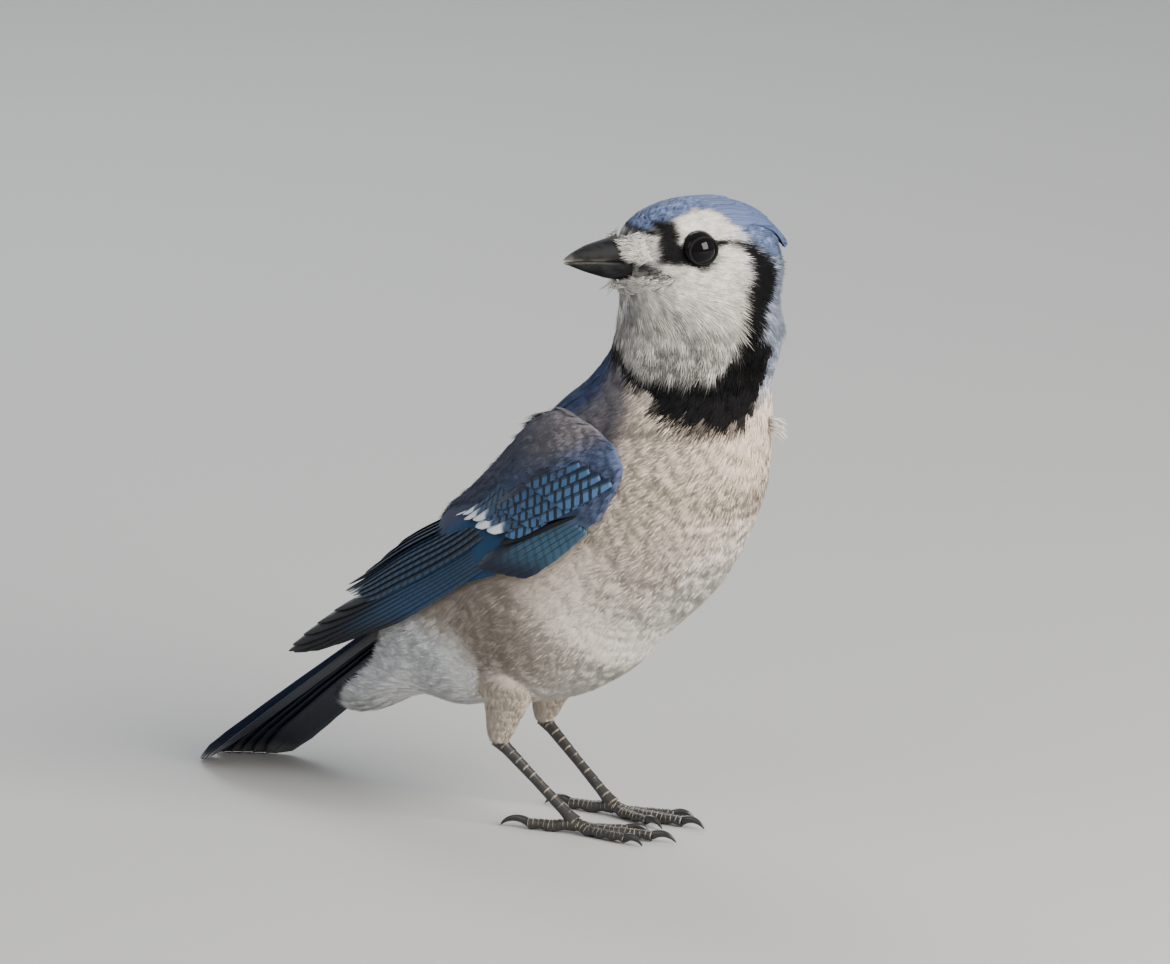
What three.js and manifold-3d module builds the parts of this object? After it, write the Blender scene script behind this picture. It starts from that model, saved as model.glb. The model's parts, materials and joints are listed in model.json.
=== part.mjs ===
// A blue jay standing on the floor and looking back over its right shoulder, life size.
// Millimetres. +X is where the breast points, +Y is the bird's left, +Z is up, and the floor is at z = 0.
import * as THREE from "three";
import { mergeVertices } from "three/addons/utils/BufferGeometryUtils.js";
import Module from "manifold-3d";

const wasm = await Module();
wasm.setup();

// Driving dimensions
const gap = 0.3; // between sub-parts that touch
const headAt = new THREE.Vector3(22.8, 0, 162.5);
const headTurn = -124; // degrees from where the breast points, over the right shoulder
const headPitch = 4;
const eyeRadius = 4.9;
const eyeAt = [7.1, 2.1]; // forward and up in the head's own frame
const eyeStandsOut = 2.2; // past the skin round it
const ankleHeight = 3.2;
const footAt = { right: [-10, -10], left: [-10.5, 11] };
const heelAt = { right: [-32.5, -12, 23.5], left: [-33, 13, 23.5] };
const footTurn = { right: 9, left: -2 };
const tailRoot = [-34, 76.5];
const tailLength = 128;
const tailSlope = 37;
const tailSwing = 6; // to the bird's left
const tailRoll = -14;
const wingBend = [9.5, 101.6]; // x and z of the wrist on the wing's axis
const wingSlope = 31;
const wingLength = 126;
const bodyRings = 26;
const bodySides = 28;

const degrees = Math.PI / 180;
const vec = (x, y, z) => new THREE.Vector3(x, y, z);
const lerp = THREE.MathUtils.lerp;
const sides = { left: 1, right: -1 };

// A value read from [place, value] pairs that go up in place.
function along(pairs, place) {
  const last = pairs.length - 1;
  if (place <= pairs[0][0]) return pairs[0][1];
  if (place >= pairs[last][0]) return pairs[last][1];
  const i = pairs.findIndex((pair) => pair[0] > place) - 1;
  const share = (place - pairs[i][0]) / (pairs[i + 1][0] - pairs[i][0]);
  return lerp(pairs[i][1], pairs[i + 1][1], share);
}

// Solids and geometries
function solidOf(geometry) {
  const bare = geometry.index ? geometry.toNonIndexed() : geometry.clone();
  bare.deleteAttribute("normal");
  bare.deleteAttribute("uv");
  const merged = mergeVertices(bare, 1e-3);
  const mesh = new wasm.Mesh({
    numProp: 3,
    vertProperties: new Float32Array(merged.attributes.position.array),
    triVerts: new Uint32Array(merged.index.array),
  });
  return new wasm.Manifold(mesh);
}

function geometryOf(solid) {
  const made = solid.getMesh();
  const geometry = new THREE.BufferGeometry();
  geometry.setAttribute("position", new THREE.BufferAttribute(made.vertProperties, made.numProp));
  geometry.setIndex(new THREE.BufferAttribute(made.triVerts, 1));
  geometry.computeVertexNormals();
  return geometry;
}

const joined = (solids) => solids.reduce((all, solid) => all.add(solid));
const largest = (solid) => solid.decompose().reduce((a, b) => (b.volume() > a.volume() ? b : a));
const moved = (solid, matrix) => solid.transform(matrix.toArray());

// A tube of rings with the same number of points each. End rings of one point close to a tip.
// The faces of the second half of a ring are split the other way, so that a thin plate's two sides match.
function tubeOf(rings) {
  const positions = [];
  const face = (a, b, c) => positions.push(...a.toArray(), ...b.toArray(), ...c.toArray());
  for (let i = 0; i < rings.length - 1; i++) {
    const [near, far] = [rings[i], rings[i + 1]];
    const n = Math.max(near.length, far.length);
    for (let k = 0; k < n; k++) {
      const next = (k + 1) % n;
      if (near.length === 1) face(near[0], far[next], far[k]);
      else if (far.length === 1) face(near[k], near[next], far[0]);
      else if (k < n / 2) {
        face(near[k], near[next], far[next]);
        face(near[k], far[next], far[k]);
      } else {
        face(near[k], near[next], far[k]);
        face(near[next], far[next], far[k]);
      }
    }
  }
  const cap = (ring, turn) => {
    for (let k = 1; k < ring.length - 1; k++) {
      if (turn) face(ring[0], ring[k + 1], ring[k]);
      else face(ring[0], ring[k], ring[k + 1]);
    }
  };
  cap(rings[0], true);
  cap(rings[rings.length - 1], false);
  const geometry = new THREE.BufferGeometry();
  geometry.setAttribute("position", new THREE.Float32BufferAttribute(positions, 3));
  const solid = solidOf(geometry);
  return solid.volume() < 0 ? solidOf(turnedOut(geometry)) : solid;
}

function turnedOut(geometry) {
  const p = geometry.attributes.position.array;
  for (let i = 0; i < p.length; i += 9) {
    for (let j = 0; j < 3; j++) [p[i + 3 + j], p[i + 6 + j]] = [p[i + 6 + j], p[i + 3 + j]];
  }
  return geometry;
}

// The body's form: a field below zero inside, from ellipsoids that melt into each other
function ellipsoid({ at, half, pitch = 0, turn = 0 }) {
  const matrix = new THREE.Matrix4()
    .makeTranslation(...at)
    .multiply(new THREE.Matrix4().makeRotationZ(turn * degrees))
    .multiply(new THREE.Matrix4().makeRotationY(-pitch * degrees))
    .invert();
  return (point) => {
    const p = point.clone().applyMatrix4(matrix);
    const near = Math.hypot(p.x / half[0], p.y / half[1], p.z / half[2]);
    const steep = Math.hypot(p.x / half[0] ** 2, p.y / half[1] ** 2, p.z / half[2] ** 2);
    return near < 1e-6 ? -Math.min(...half) : (near * (near - 1)) / steep;
  };
}

function melted(fields, soft) {
  return (point) => {
    let value = fields[0](point);
    for (const field of fields.slice(1)) {
      const other = field(point);
      const h = THREE.MathUtils.clamp(0.5 + (0.5 * (other - value)) / soft, 0, 1);
      value = lerp(other, value, h) - soft * h * (1 - h);
    }
    return value;
  };
}

// A place in the head's frame: forward along the bill, to the head's left, and up
const headFrame = new THREE.Matrix4()
  .makeTranslation(...headAt.toArray())
  .multiply(new THREE.Matrix4().makeRotationZ(headTurn * degrees))
  .multiply(new THREE.Matrix4().makeRotationY(-headPitch * degrees));
const inHead = (x, y, z) => vec(x, y, z).applyMatrix4(headFrame).toArray();

const forms = [
  { at: [-15, 0, 69], half: [42, 29, 30], pitch: 46 }, // belly
  { at: [3.5, 0, 87], half: [32, 28.5, 29.5], pitch: 55 }, // keel
  { at: [-10.5, 0, 103], half: [28, 24, 15], pitch: 47 }, // mantle
  { at: [11, 0, 102], half: [34, 28, 29], pitch: 60 }, // breast
  { at: [-47, 0, 60], half: [32, 19, 17], pitch: 38 }, // rump
  { at: [-44, 0, 46], half: [22, 19, 17], pitch: 24 }, // vent and flanks
  { at: [-60, 0, 41.5], half: [33, 12, 9.5], pitch: 35 }, // feathers under the tail
  { at: [18.5, 0, 124], half: [24, 22.5, 23], pitch: 76 }, // base of the neck
  { at: [25.5, 0, 141], half: [20, 19.5, 19.5], pitch: 86 }, // neck
  { at: inHead(3, 0, -0.6), half: [22, 15, 14.6], pitch: headPitch, turn: headTurn }, // skull
  { at: inHead(2, 0, -10), half: [19, 15.5, 13.5], pitch: headPitch, turn: headTurn }, // cheeks and chin
  { at: inHead(4, 0, -24), half: [18, 15, 18], turn: headTurn }, // throat
  { at: inHead(-10.5, 0, -3), half: [10.5, 12.5, 9.5], pitch: headPitch, turn: headTurn }, // nape
];
const melt = 7;
const bodyField = melted(forms.map(ellipsoid), melt);

// Distance from a centre to the surface of a field, along a direction
function reach(field, centre, direction) {
  let [low, high] = [0, 90];
  const inside = (t) => field(centre.clone().addScaledVector(direction, t)) < 0;
  for (let t = 1; t <= high; t += 1) {
    if (inside(t)) low = t;
    else {
      high = t;
      break;
    }
  }
  for (let i = 0; i < 24; i++) {
    const middle = (low + high) / 2;
    if (inside(middle)) low = middle;
    else high = middle;
  }
  return low;
}

// Rings of the body along its spine, with a fan of rings round each end
const spine = new THREE.CatmullRomCurve3(
  [
    [-80, 30.5],
    [-62, 42],
    [-40, 55],
    [-16, 75],
    [6, 101],
    [18, 128],
    [22.5, 148],
    [22.8, 160],
  ].map(([x, z]) => vec(x, 0, z)),
  false,
  "centripetal",
);

function bodyStations() {
  const stations = [];
  const rearFan = 4;
  const headFan = 8;
  for (let i = 0; i < rearFan; i++) stations.push({ at: 0, lean: -90 + (90 / rearFan) * i });
  for (let i = 0; i <= bodyRings; i++) stations.push({ at: i / bodyRings, lean: 0 });
  for (let i = 1; i <= headFan; i++) stations.push({ at: 1, lean: (90 / headFan) * i });
  return stations;
}

function bodySolid(field) {
  const rings = bodyStations().map(({ at, lean }) => {
    const centre = spine.getPointAt(at);
    const tangent = spine.getTangentAt(at);
    const up = vec(0, -1, 0).cross(tangent).normalize();
    const pole = Math.abs(lean) === 90;
    const ring = [];
    for (let k = 0; k < (pole ? 1 : bodySides); k++) {
      const angle = (2 * Math.PI * k) / bodySides;
      const direction = vec(0, Math.cos(angle), 0)
        .addScaledVector(up, Math.sin(angle))
        .multiplyScalar(pole ? 0 : Math.cos(lean * degrees))
        .addScaledVector(tangent, Math.sin(lean * degrees))
        .normalize();
      ring.push(centre.clone().addScaledVector(direction, reach(field, centre, direction)));
    }
    return ring;
  });
  return tubeOf(rings);
}

const grown = (by) => (point) => bodyField(point) - by;
const wholeBody = bodySolid(bodyField);
const bodyWithGap = bodySolid(grown(gap));

// Thin cuts that part the head, the neck and the torso
function slab({ at, pitch, turn = 0 }) {
  const box = new THREE.BoxGeometry(gap, 200, 200);
  box.applyMatrix4(new THREE.Matrix4().makeRotationY(-pitch * degrees));
  box.applyMatrix4(new THREE.Matrix4().makeRotationZ(turn * degrees));
  box.applyMatrix4(new THREE.Matrix4().makeTranslation(...at));
  return solidOf(box);
}

const neckCut = slab({ at: [17, 0, 125.5], pitch: 72 });
const headCut = slab({ at: inHead(0, 0, -13), pitch: 90 - 6, turn: headTurn });
const [torsoWhole, neckWhole, headWhole] = wholeBody
  .subtract(neckCut)
  .subtract(headCut)
  .decompose()
  .map((solid) => ({ solid, box: solid.boundingBox() }))
  .sort((a, b) => a.box.max[2] - b.box.max[2])
  .map((piece) => piece.solid);

// A feather as a thin cambered plate, on a sheet that map places: s runs along the sheet, t across it, h off it.
// The exposed edge stands higher than the covered one by the tilt.
function vane(map, { root, tip, width, lift = [0, 0], tilt = 0, thick = 0.6, camber = 0.5, shape }) {
  const outline = shape ?? [[0, 0.55], [0.3, 0.95], [0.75, 1], [0.93, 0.72], [1, 0.25]];
  const [ds, dt] = [tip[0] - root[0], tip[1] - root[1]];
  const length = Math.hypot(ds, dt);
  const rings = outline.map(([share, wide]) => {
    const point = (cross, top) => {
      const off = (cross * width * wide) / 2;
      const s = root[0] + ds * share - (dt / length) * off;
      const t = root[1] + dt * share + (ds / length) * off;
      const h = lerp(lift[0], lift[1], share) - tilt * off + camber * (1 - Math.abs(cross)) * wide;
      return map(s, t, h + (top ? thick / 2 : -thick / 2));
    };
    return [point(-1, true), point(0, true), point(1, true), point(1, false), point(0, false), point(-1, false)];
  });
  return tubeOf(rings);
}

// The sheet that a folded wing lies on: rays out of a line from the wrist to the wing tip, set on the body and,
// past it, on a low mound over the tail
const wingMound = ellipsoid({ at: [-66, 0, 55], half: [52, 12.5, 8.5], pitch: 32 });
const wingBed = melted([bodyField, wingMound], melt);
const wingAxis = vec(-Math.cos(wingSlope * degrees), 0, -Math.sin(wingSlope * degrees));
const wingUp = vec(-Math.sin(wingSlope * degrees), 0, Math.cos(wingSlope * degrees));
const wingRadius = [[0, 27], [50, 27], [90, 19], [130, 11]]; // of the sheet round its line, by distance from the wrist

function wingMap(side) {
  return (s, t, h) => {
    const angle = (t / along(wingRadius, s)) * 1;
    const centre = vec(wingBend[0], 0, wingBend[1]).addScaledVector(wingAxis, s);
    const direction = vec(0, sides[side] * Math.cos(angle), 0).addScaledVector(wingUp, Math.sin(angle));
    return centre.addScaledVector(direction, reach(wingBed, centre, direction) + h);
  };
}

// The arm and its small coverts, which all the wing's feathers are rooted in
function wingArm(map) {
  const low = [[-7, 2], [-3, -2], [6, -6.5], [30, -7.5], [62, -5], [78, 2]];
  const high = [[-7, 8], [-3, 15], [6, 24], [30, 33], [62, 31], [78, 22]];
  const top = [[-7, 0.2], [-3, 2.4], [8, 3.6], [40, 3], [60, 1.6], [78, 0.4]];
  const stations = [-7, -5, -1, 6, 18, 32, 46, 62, 78];
  const across = 7;
  const rings = stations.map((s) => {
    const [from, to] = [along(low, s), along(high, s)];
    const ring = [];
    for (let k = 0; k <= across; k++) {
      const share = k / across;
      const round = Math.sin(Math.PI * (0.06 + 0.88 * share)) ** 0.5;
      ring.push(map(s, lerp(from, to, share), along(top, s) * round));
    }
    for (let k = across; k >= 0; k--) ring.push(map(s, lerp(from, to, k / across), -3.5));
    return ring;
  });
  return tubeOf(rings);
}

// Rows of feathers in the order that they lie, the innermost on top
const flightShape = [[0, 0.5], [0.5, 0.95], [0.9, 0.8], [1, 0.2]];
const covertShape = [[0, 0.6], [0.55, 1], [0.9, 0.75], [1, 0.25]];
const handTips = [106, 114, 121, wingLength, 124, 110];
const wingRows = [
  { // flight feathers of the hand
    count: 6,
    root: (i) => [34 + 1.4 * i, 5.5 - 1.4 * i],
    tip: (i) => [handTips[i], 8 - 1.9 * i],
    width: 7.5,
    lift: (i) => [0.6, 2.6 - 0.42 * i],
    shape: flightShape,
  },
  { // flight feathers of the arm
    count: 5,
    root: (i) => [36, 21 - 3.5 * i],
    tip: (i) => [104 - 1.5 * i, 19 - 2.7 * i],
    width: 8,
    lift: (i) => [1.2, 3 - 0.1 * i],
    shape: flightShape,
  },
  { // tertials
    count: 3,
    root: (i) => [40, 31 - 3.4 * i],
    tip: (i) => [86 + 7 * i, 26 - 3 * i],
    width: 10,
    lift: () => [1.8, 4.4],
    shape: covertShape,
  },
  { // greater coverts
    count: 6,
    root: (i) => [26 - i, 29 - 5.2 * i],
    tip: (i) => [62 - 2.6 * i, 30 - 5.3 * i],
    width: 7.8,
    lift: () => [2.2, 4.6],
    shape: covertShape,
  },
  { // coverts of the hand
    count: 2,
    root: (i) => [28, -0.5 - 2.6 * i],
    tip: (i) => [58 - 4 * i, 0.5 - 2.8 * i],
    width: 6,
    lift: () => [1.4, 3.2],
    shape: covertShape,
  },
  { // median coverts
    count: 4,
    root: (i) => [12 - 1.5 * i, 26 - 7.2 * i],
    tip: (i) => [43 - 3 * i, 27 - 7.2 * i],
    width: 10,
    lift: () => [3, 5.6],
    shape: covertShape,
  },
];
const vaneTilt = 0.26;

function wingSolid(side) {
  const map = wingMap(side);
  const feathers = [wingArm(map)];
  for (const row of wingRows) {
    for (let i = 0; i < row.count; i++) {
      feathers.push(
        vane(map, {
          root: row.root(i),
          tip: row.tip(i),
          width: row.width,
          lift: row.lift(i),
          tilt: vaneTilt,
          thick: 0.55,
          camber: 0.3,
          shape: row.shape,
        }),
      );
    }
  }
  return largest(joined(feathers).subtract(bodyWithGap).subtract(tailRoom()));
}

// The tail: the middle pair on top and each outer pair lower, in a shallow roof
const tailFrame = new THREE.Matrix4()
  .makeTranslation(tailRoot[0], 0, tailRoot[1])
  .multiply(new THREE.Matrix4().makeRotationZ(-tailSwing * degrees))
  .multiply(new THREE.Matrix4().makeRotationY(-tailSlope * degrees))
  .multiply(new THREE.Matrix4().makeRotationX(tailRoll * degrees));
const tailMap = (s, t, h) => vec(-s, t, h - 0.014 * t * t).applyMatrix4(tailFrame);
const floorBox = solidOf(new THREE.BoxGeometry(500, 300, 40).translate(0, 0, -20));

function tailSolid() {
  const pairs = 6;
  const feathers = [];
  for (let i = pairs - 1; i >= 0; i--) {
    for (const side of [1, -1]) {
      feathers.push(
        vane(tailMap, {
          root: [0, side * (1.2 + 0.5 * i)],
          tip: [tailLength - 0.35 * i * i, side * (2.6 + 1.75 * i)],
          width: 11,
          lift: [1 - 0.2 * i, 1 - 0.8 * i + (side > 0 ? 0.35 : 0)],
          thick: 0.6,
          camber: 0.3,
          shape: [[0, 0.5], [0.35, 0.8], [0.7, 1], [0.93, 0.85], [1, 0.3]],
        }),
      );
    }
  }
  return joined(feathers).subtract(floorBox);
}

// The room that the tail takes under the folded wings
function tailRoom() {
  const half = 17;
  const rings = [20, 60, 100].map((s) => [
    ...[-half, -half / 2, 0, half / 2, half].map((t) => tailMap(s, t, 2.3)),
    ...[half, half / 2, 0, -half / 2, -half].map((t) => tailMap(s, t, -7)),
  ]);
  return tubeOf(rings);
}

// A pointed lock of four sides that lies along points, with its width and thickness at each
function lock(points, widths, thick, outward) {
  const rings = points.map((point, i) => {
    const before = points[Math.max(0, i - 1)];
    const after = points[Math.min(points.length - 1, i + 1)];
    const tangent = after.clone().sub(before).normalize();
    const out = outward(point);
    const across = tangent.clone().cross(out).normalize();
    const up = across.clone().cross(tangent).normalize();
    if (i === points.length - 1) return [point.clone()];
    const [w, h] = [widths[i] / 2, thick[i] / 2];
    return [
      point.clone().addScaledVector(across, -w),
      point.clone().addScaledVector(up, h),
      point.clone().addScaledVector(across, w),
      point.clone().addScaledVector(up, -h),
    ];
  });
  return tubeOf(rings);
}

// A point on the head's surface in its own frame, by the direction from a centre
const headField = (p) => bodyField(p.clone().applyMatrix4(headFrame));
function onHead(centre, direction, lift = 0) {
  const unit = direction.clone().normalize();
  return centre.clone().addScaledVector(unit, reach(headField, centre, unit) + lift);
}

// Crest: rows of pointed feathers laid back over the crown, the last ones ending in the point behind the head
const crestRows = [
  { from: 60, length: 15, count: 5, spread: 17, lift: 0.7 },
  { from: 88, length: 19, count: 6, spread: 16, lift: 1.0 },
  { from: 112, length: 21, count: 7, spread: 14, lift: 1.5 },
];
const crestTip = vec(-25.5, 0, 0);

function crestSolid() {
  const centre = vec(-2, 0, 0);
  const feathers = [];
  for (const [r, row] of crestRows.entries()) {
    for (let i = 0; i < row.count; i++) {
      const off = i - (row.count - 1) / 2;
      const roll = off * row.spread * degrees;
      const points = [];
      const steps = 4;
      for (let k = 0; k <= steps; k++) {
        const share = k / steps;
        const swing = (row.from + (row.length * share) / 0.3) * degrees;
        const direction = vec(Math.cos(swing), Math.sin(swing) * Math.sin(roll), Math.sin(swing) * Math.cos(roll));
        const lift = lerp(-0.9, row.lift + 0.12 * ((i + r) % 3), share ** 0.7);
        points.push(onHead(centre, direction, lift));
      }
      if (r === crestRows.length - 1) {
        const pull = 1 - Math.abs(off) / row.count;
        points[3].lerp(crestTip, 0.35 * pull);
        points[4].lerp(crestTip, 0.85 * pull);
      }
      feathers.push(lock(points, [3.2, 4.6, 4.6, 3.4, 0], [1.6, 1.7, 1.5, 1.1, 0], (p) => p.clone().sub(centre)));
    }
  }
  return joined(feathers);
}

// Bristle tufts over the nostrils, lying forward along the bill
function nasalTuft(side) {
  const centre = vec(8, 0, -1);
  const locks = [];
  for (let i = 0; i < 5; i++) {
    const rise = 8.2 - 2.5 * i;
    const points = [0, 1, 2, 3].map((k) => {
      const aim = vec(14 + 4.6 * k, side * (10.5 - 1.9 * k), rise - 0.5 * k).sub(centre);
      return onHead(centre, aim, [-0.6, 0.7, 1.1, 0.9][k]);
    });
    locks.push(lock(points, [3.4, 3.6, 2.6, 0], [2, 1.8, 1.2, 0], (p) => p.clone().sub(centre)));
  }
  return joined(locks);
}

// Bill: both halves lofted along the head's forward axis and parted by the mouth's line
const billLow = 12;
const billTip = 41.3;
const billStations = [billLow, 17, 22, 26.5, 31, 35, 38.5, 40.6];
const billTop = [[12, 3.4], [22, 3.6], [28, 2.7], [34, 0.7], [39, -1.6], [41.3, -3.2]];
const billMouth = [[12, -4.6], [19, -3.1], [26, -2.5], [35, -2.6], [41.3, -3.1]];
const billBottom = [[12, -8.6], [22, -8.4], [28, -7.6], [34, -5.8], [39, -3.9], [41.3, -3.3]];
const billHalfWidth = [[12, 6.2], [20, 5.2], [28, 3.9], [34, 2.7], [39, 1.2], [41.3, 0.3]];

function billHalf(upper, clear = 0) {
  const sidesOfHalf = 8;
  const rings = billStations.map((x) => {
    const mouth = along(billMouth, x) + (upper ? gap / 2 : -gap / 2) - (upper ? clear : -clear);
    const edge = along(upper ? billTop : billBottom, x) + (upper ? clear : -clear);
    const wide = along(billHalfWidth, x) * (upper ? 1 : 0.9) + clear;
    const ring = [];
    for (let k = 0; k <= sidesOfHalf; k++) {
      const angle = (Math.PI * k) / sidesOfHalf;
      ring.push(vec(x, -Math.cos(angle) * wide, mouth + (edge - mouth) * Math.sin(angle) ** 0.8));
    }
    return ring;
  });
  const end = upper ? billTip : billTip - 1.2;
  rings.push([vec(end, 0, along(billMouth, end) + (upper ? -0.1 : -0.35))]);
  return tubeOf(rings);
}

// The mouth's line runs on from the bill under each eye as a shallow groove
function mouthLine(side) {
  const centre = vec(4, 0, -4);
  const places = [[27, 3.5, -2.6], [22, 6, -3.2], [17, 9, -4.2], [12.5, 12, -5.4], [9.5, 14, -6.6]];
  const points = places.map(([x, y, z]) => onHead(centre, vec(x, side * y, z).sub(centre), 0.1));
  return lock(points, [1, 1.1, 1.1, 0.9, 0], [2, 2, 1.8, 1.2, 0], (p) => p.clone().sub(centre));
}

const eyeDepth = reach(headField, vec(eyeAt[0], 0, eyeAt[1]), vec(0, 1, 0)) - eyeRadius + eyeStandsOut;

// Head: lids raised round the eyes, tufts at the nostrils, sockets for the eyes and the bill
function lid(side) {
  const ring = new THREE.TorusGeometry(eyeRadius - 0.45, 0.8, 6, 16);
  ring.rotateX(Math.PI / 2);
  ring.scale(1.06, 1, 0.98);
  ring.rotateZ(side * -8 * degrees);
  ring.translate(eyeAt[0], side * (eyeDepth + eyeRadius - eyeStandsOut + 0.3), eyeAt[1]);
  return solidOf(ring);
}

function eyeBall(side, radius) {
  const ball = new THREE.SphereGeometry(radius, 16, 10);
  ball.translate(eyeAt[0], side * eyeDepth, eyeAt[1]);
  return solidOf(ball);
}

function headSolid() {
  const own = moved(headWhole, headFrame.clone().invert());
  const bill = billHalf(true, gap).add(billHalf(false, gap));
  let head = joined([own, lid(1), lid(-1), nasalTuft(1), nasalTuft(-1)]);
  head = head.subtract(mouthLine(1)).subtract(mouthLine(-1)).subtract(bill).subtract(eyeBall(1, eyeRadius + gap)).subtract(eyeBall(-1, eyeRadius + gap));
  return largest(head);
}

// Legs
function limb(points, radii, sidesRound = 8, flat = 1) {
  const rings = points.map((point, i) => {
    const before = points[Math.max(0, i - 1)];
    const after = points[Math.min(points.length - 1, i + 1)];
    const tangent = after.clone().sub(before).normalize();
    const across = tangent.clone().cross(vec(0, 0, 1));
    if (across.length() < 0.01) across.set(0, 1, 0);
    across.normalize();
    const up = across.clone().cross(tangent).normalize();
    if (radii[i] === 0) return [point.clone()];
    const ring = [];
    for (let k = 0; k < sidesRound; k++) {
      const angle = (2 * Math.PI * (k + 0.5)) / sidesRound;
      ring.push(
        point
          .clone()
          .addScaledVector(across, Math.cos(angle) * radii[i] * flat)
          .addScaledVector(up, Math.sin(angle) * radii[i]),
      );
    }
    return ring;
  });
  return tubeOf(rings);
}

const tarsusRadii = [[0, 2.4], [0.12, 1.75], [0.5, 1.45], [0.85, 1.6], [1, 2.1]];
const thighTop = { right: [-25.5, -12.4, 51.3], left: [-25.8, 13.6, 51.1] };

function tarsusPoints(side) {
  const [heel, foot] = [vec(...heelAt[side]), vec(...footAt[side], ankleHeight)];
  return tarsusRadii.map(([share]) => heel.clone().lerp(foot, share));
}

function tarsusSolid(side, clear = 0) {
  const points = tarsusPoints(side);
  const radii = tarsusRadii.map(([, radius]) => radius + clear);
  const run = points[points.length - 1].clone().sub(points[0]).normalize();
  points[0].addScaledVector(run, -clear);
  points[points.length - 1].addScaledVector(run, clear);
  return limb(points, radii, 10, 0.85);
}

function thighSolid(side) {
  const [top, heel] = [vec(...thighTop[side]), vec(...heelAt[side])];
  const end = heel.clone().lerp(vec(...footAt[side], ankleHeight), 0.12);
  const shares = [[0, 9], [0.35, 8.6], [0.65, 6.4], [0.88, 4.6], [1, 3.6]];
  const points = shares.map(([share]) => top.clone().lerp(heel, share));
  const radii = shares.map(([, radius]) => radius);
  points.push(end);
  radii.push(2.5);
  const feathers = limb(points, radii, 12);
  return largest(feathers.subtract(bodyWithGap).subtract(tarsusSolid(side, gap)));
}

// Toes in the foot's own frame: the hind toe and three front ones, with a bulge at each joint and a claw
const toes = [
  { name: "hind", turn: 180, length: 13, radius: 1.75, joints: 2, claw: 9.5 },
  { name: "inner", turn: 17, length: 14, radius: 1.5, joints: 3, claw: 7 },
  { name: "middle", turn: 0, length: 22, radius: 1.7, joints: 4, claw: 7.8 },
  { name: "outer", turn: -17, length: 17, radius: 1.45, joints: 4, claw: 6.6 },
];
const toeHeight = 1.45; // of a toe's middle line over the floor, so that its pads are flat below

function toePath(toe, side) {
  const turn = (toe.turn === 180 ? 180 : toe.turn * -sides[side]) * degrees;
  const forward = vec(Math.cos(turn), Math.sin(turn), 0);
  return { forward, at: (share) => forward.clone().multiplyScalar(toe.length * share) };
}

function toeSolid(toe, side) {
  const { at } = toePath(toe, side);
  const steps = toe.joints * 2;
  const points = [vec(0, 0, ankleHeight - 0.6)];
  const radii = [toe.radius * 1.15];
  for (let k = 1; k <= steps; k++) {
    const bulge = k % 2 === 0 ? 1 : 0.84;
    const point = at(k / steps);
    point.z = toeHeight + (k % 2 === 0 ? 0 : 0.35) + Math.max(0, 1 - k / 2) * 0.8;
    points.push(point);
    radii.push(toe.radius * bulge * lerp(1.08, 0.88, k / steps));
  }
  return limb(points, radii, 6);
}

function clawSolid(toe, side) {
  const { forward, at } = toePath(toe, side);
  const points = [at(1)];
  points[0].z = toeHeight + 0.2;
  const steps = 5;
  for (let k = 1; k <= steps; k++) {
    const slope = lerp(30, -58, (k - 0.5) / steps) * degrees;
    const step = forward.clone().multiplyScalar(Math.cos(slope)).setZ(Math.sin(slope));
    points.push(points[k - 1].clone().addScaledVector(step, toe.claw / steps));
  }
  const clear = 0.3 - points[steps].z;
  if (clear > 0) points.forEach((point, k) => (point.z += (clear * k) / steps));
  return limb(points, [1.2, 1.1, 0.95, 0.75, 0.5, 0], 6, 0.8);
}

function footSolids(side) {
  const frame = new THREE.Matrix4()
    .makeTranslation(...footAt[side], 0)
    .multiply(new THREE.Matrix4().makeRotationZ(footTurn[side] * degrees));
  const tarsus = moved(tarsusSolid(side, gap), frame.clone().invert());
  const claws = toes.map((toe) => clawSolid(toe, side));
  let foot = joined(toes.map((toe) => toeSolid(toe, side)));
  foot = largest(foot.subtract(floorBox).subtract(tarsus));
  const tips = toes.map((toe, i) => {
    const { forward, at } = toePath(toe, side);
    const cut = new THREE.BoxGeometry(60, 60, 60).translate(-30 + gap, 0, 0);
    cut.applyMatrix4(new THREE.Matrix4().makeRotationZ(Math.atan2(forward.y, forward.x)));
    cut.translate(...at(1).toArray());
    return largest(claws[i].subtract(solidOf(cut)).subtract(floorBox));
  });
  return { frame, foot, tips };
}

// The scene graph
const colours = {
  pale: 0xcfc8c0,
  white: 0xe9e7e2,
  blue: 0x6f8fc4,
  wing: 0x2f5f9e,
  horn: 0x26272b,
  scale: 0x3a3632,
  eye: 0x0c0a0a,
};
const finish = (colour, roughness) => new THREE.MeshStandardMaterial({ color: colour, roughness, metalness: 0 });
const materials = {
  torso: finish(colours.pale, 0.85),
  face: finish(colours.white, 0.85),
  crest: finish(colours.blue, 0.75),
  wing: finish(colours.wing, 0.6),
  bill: finish(colours.horn, 0.35),
  leg: finish(colours.scale, 0.55),
  eye: finish(colours.eye, 0.05),
};

function meshOf(name, solid, material) {
  const mesh = new THREE.Mesh(geometryOf(solid), material);
  mesh.name = name;
  return mesh;
}

const bird = new THREE.Group();
const head = new THREE.Group();
head.applyMatrix4(headFrame);
bird.add(head);

const tailWhole = tailSolid();
const headOwn = headSolid();
const crestWhole = largest(crestSolid().subtract(moved(bodyWithGap, headFrame.clone().invert())));
bird.add(meshOf("torso", torsoWhole, materials.torso));
bird.add(meshOf("neck", neckWhole, materials.face));
bird.add(meshOf("tail", largest(tailWhole.subtract(bodyWithGap)), materials.wing));
head.add(meshOf("head", headOwn, materials.face));
head.add(meshOf("crest", crestWhole, materials.crest));
head.add(meshOf("bill_upper", billHalf(true), materials.bill));
head.add(meshOf("bill_lower", billHalf(false), materials.bill));

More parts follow.
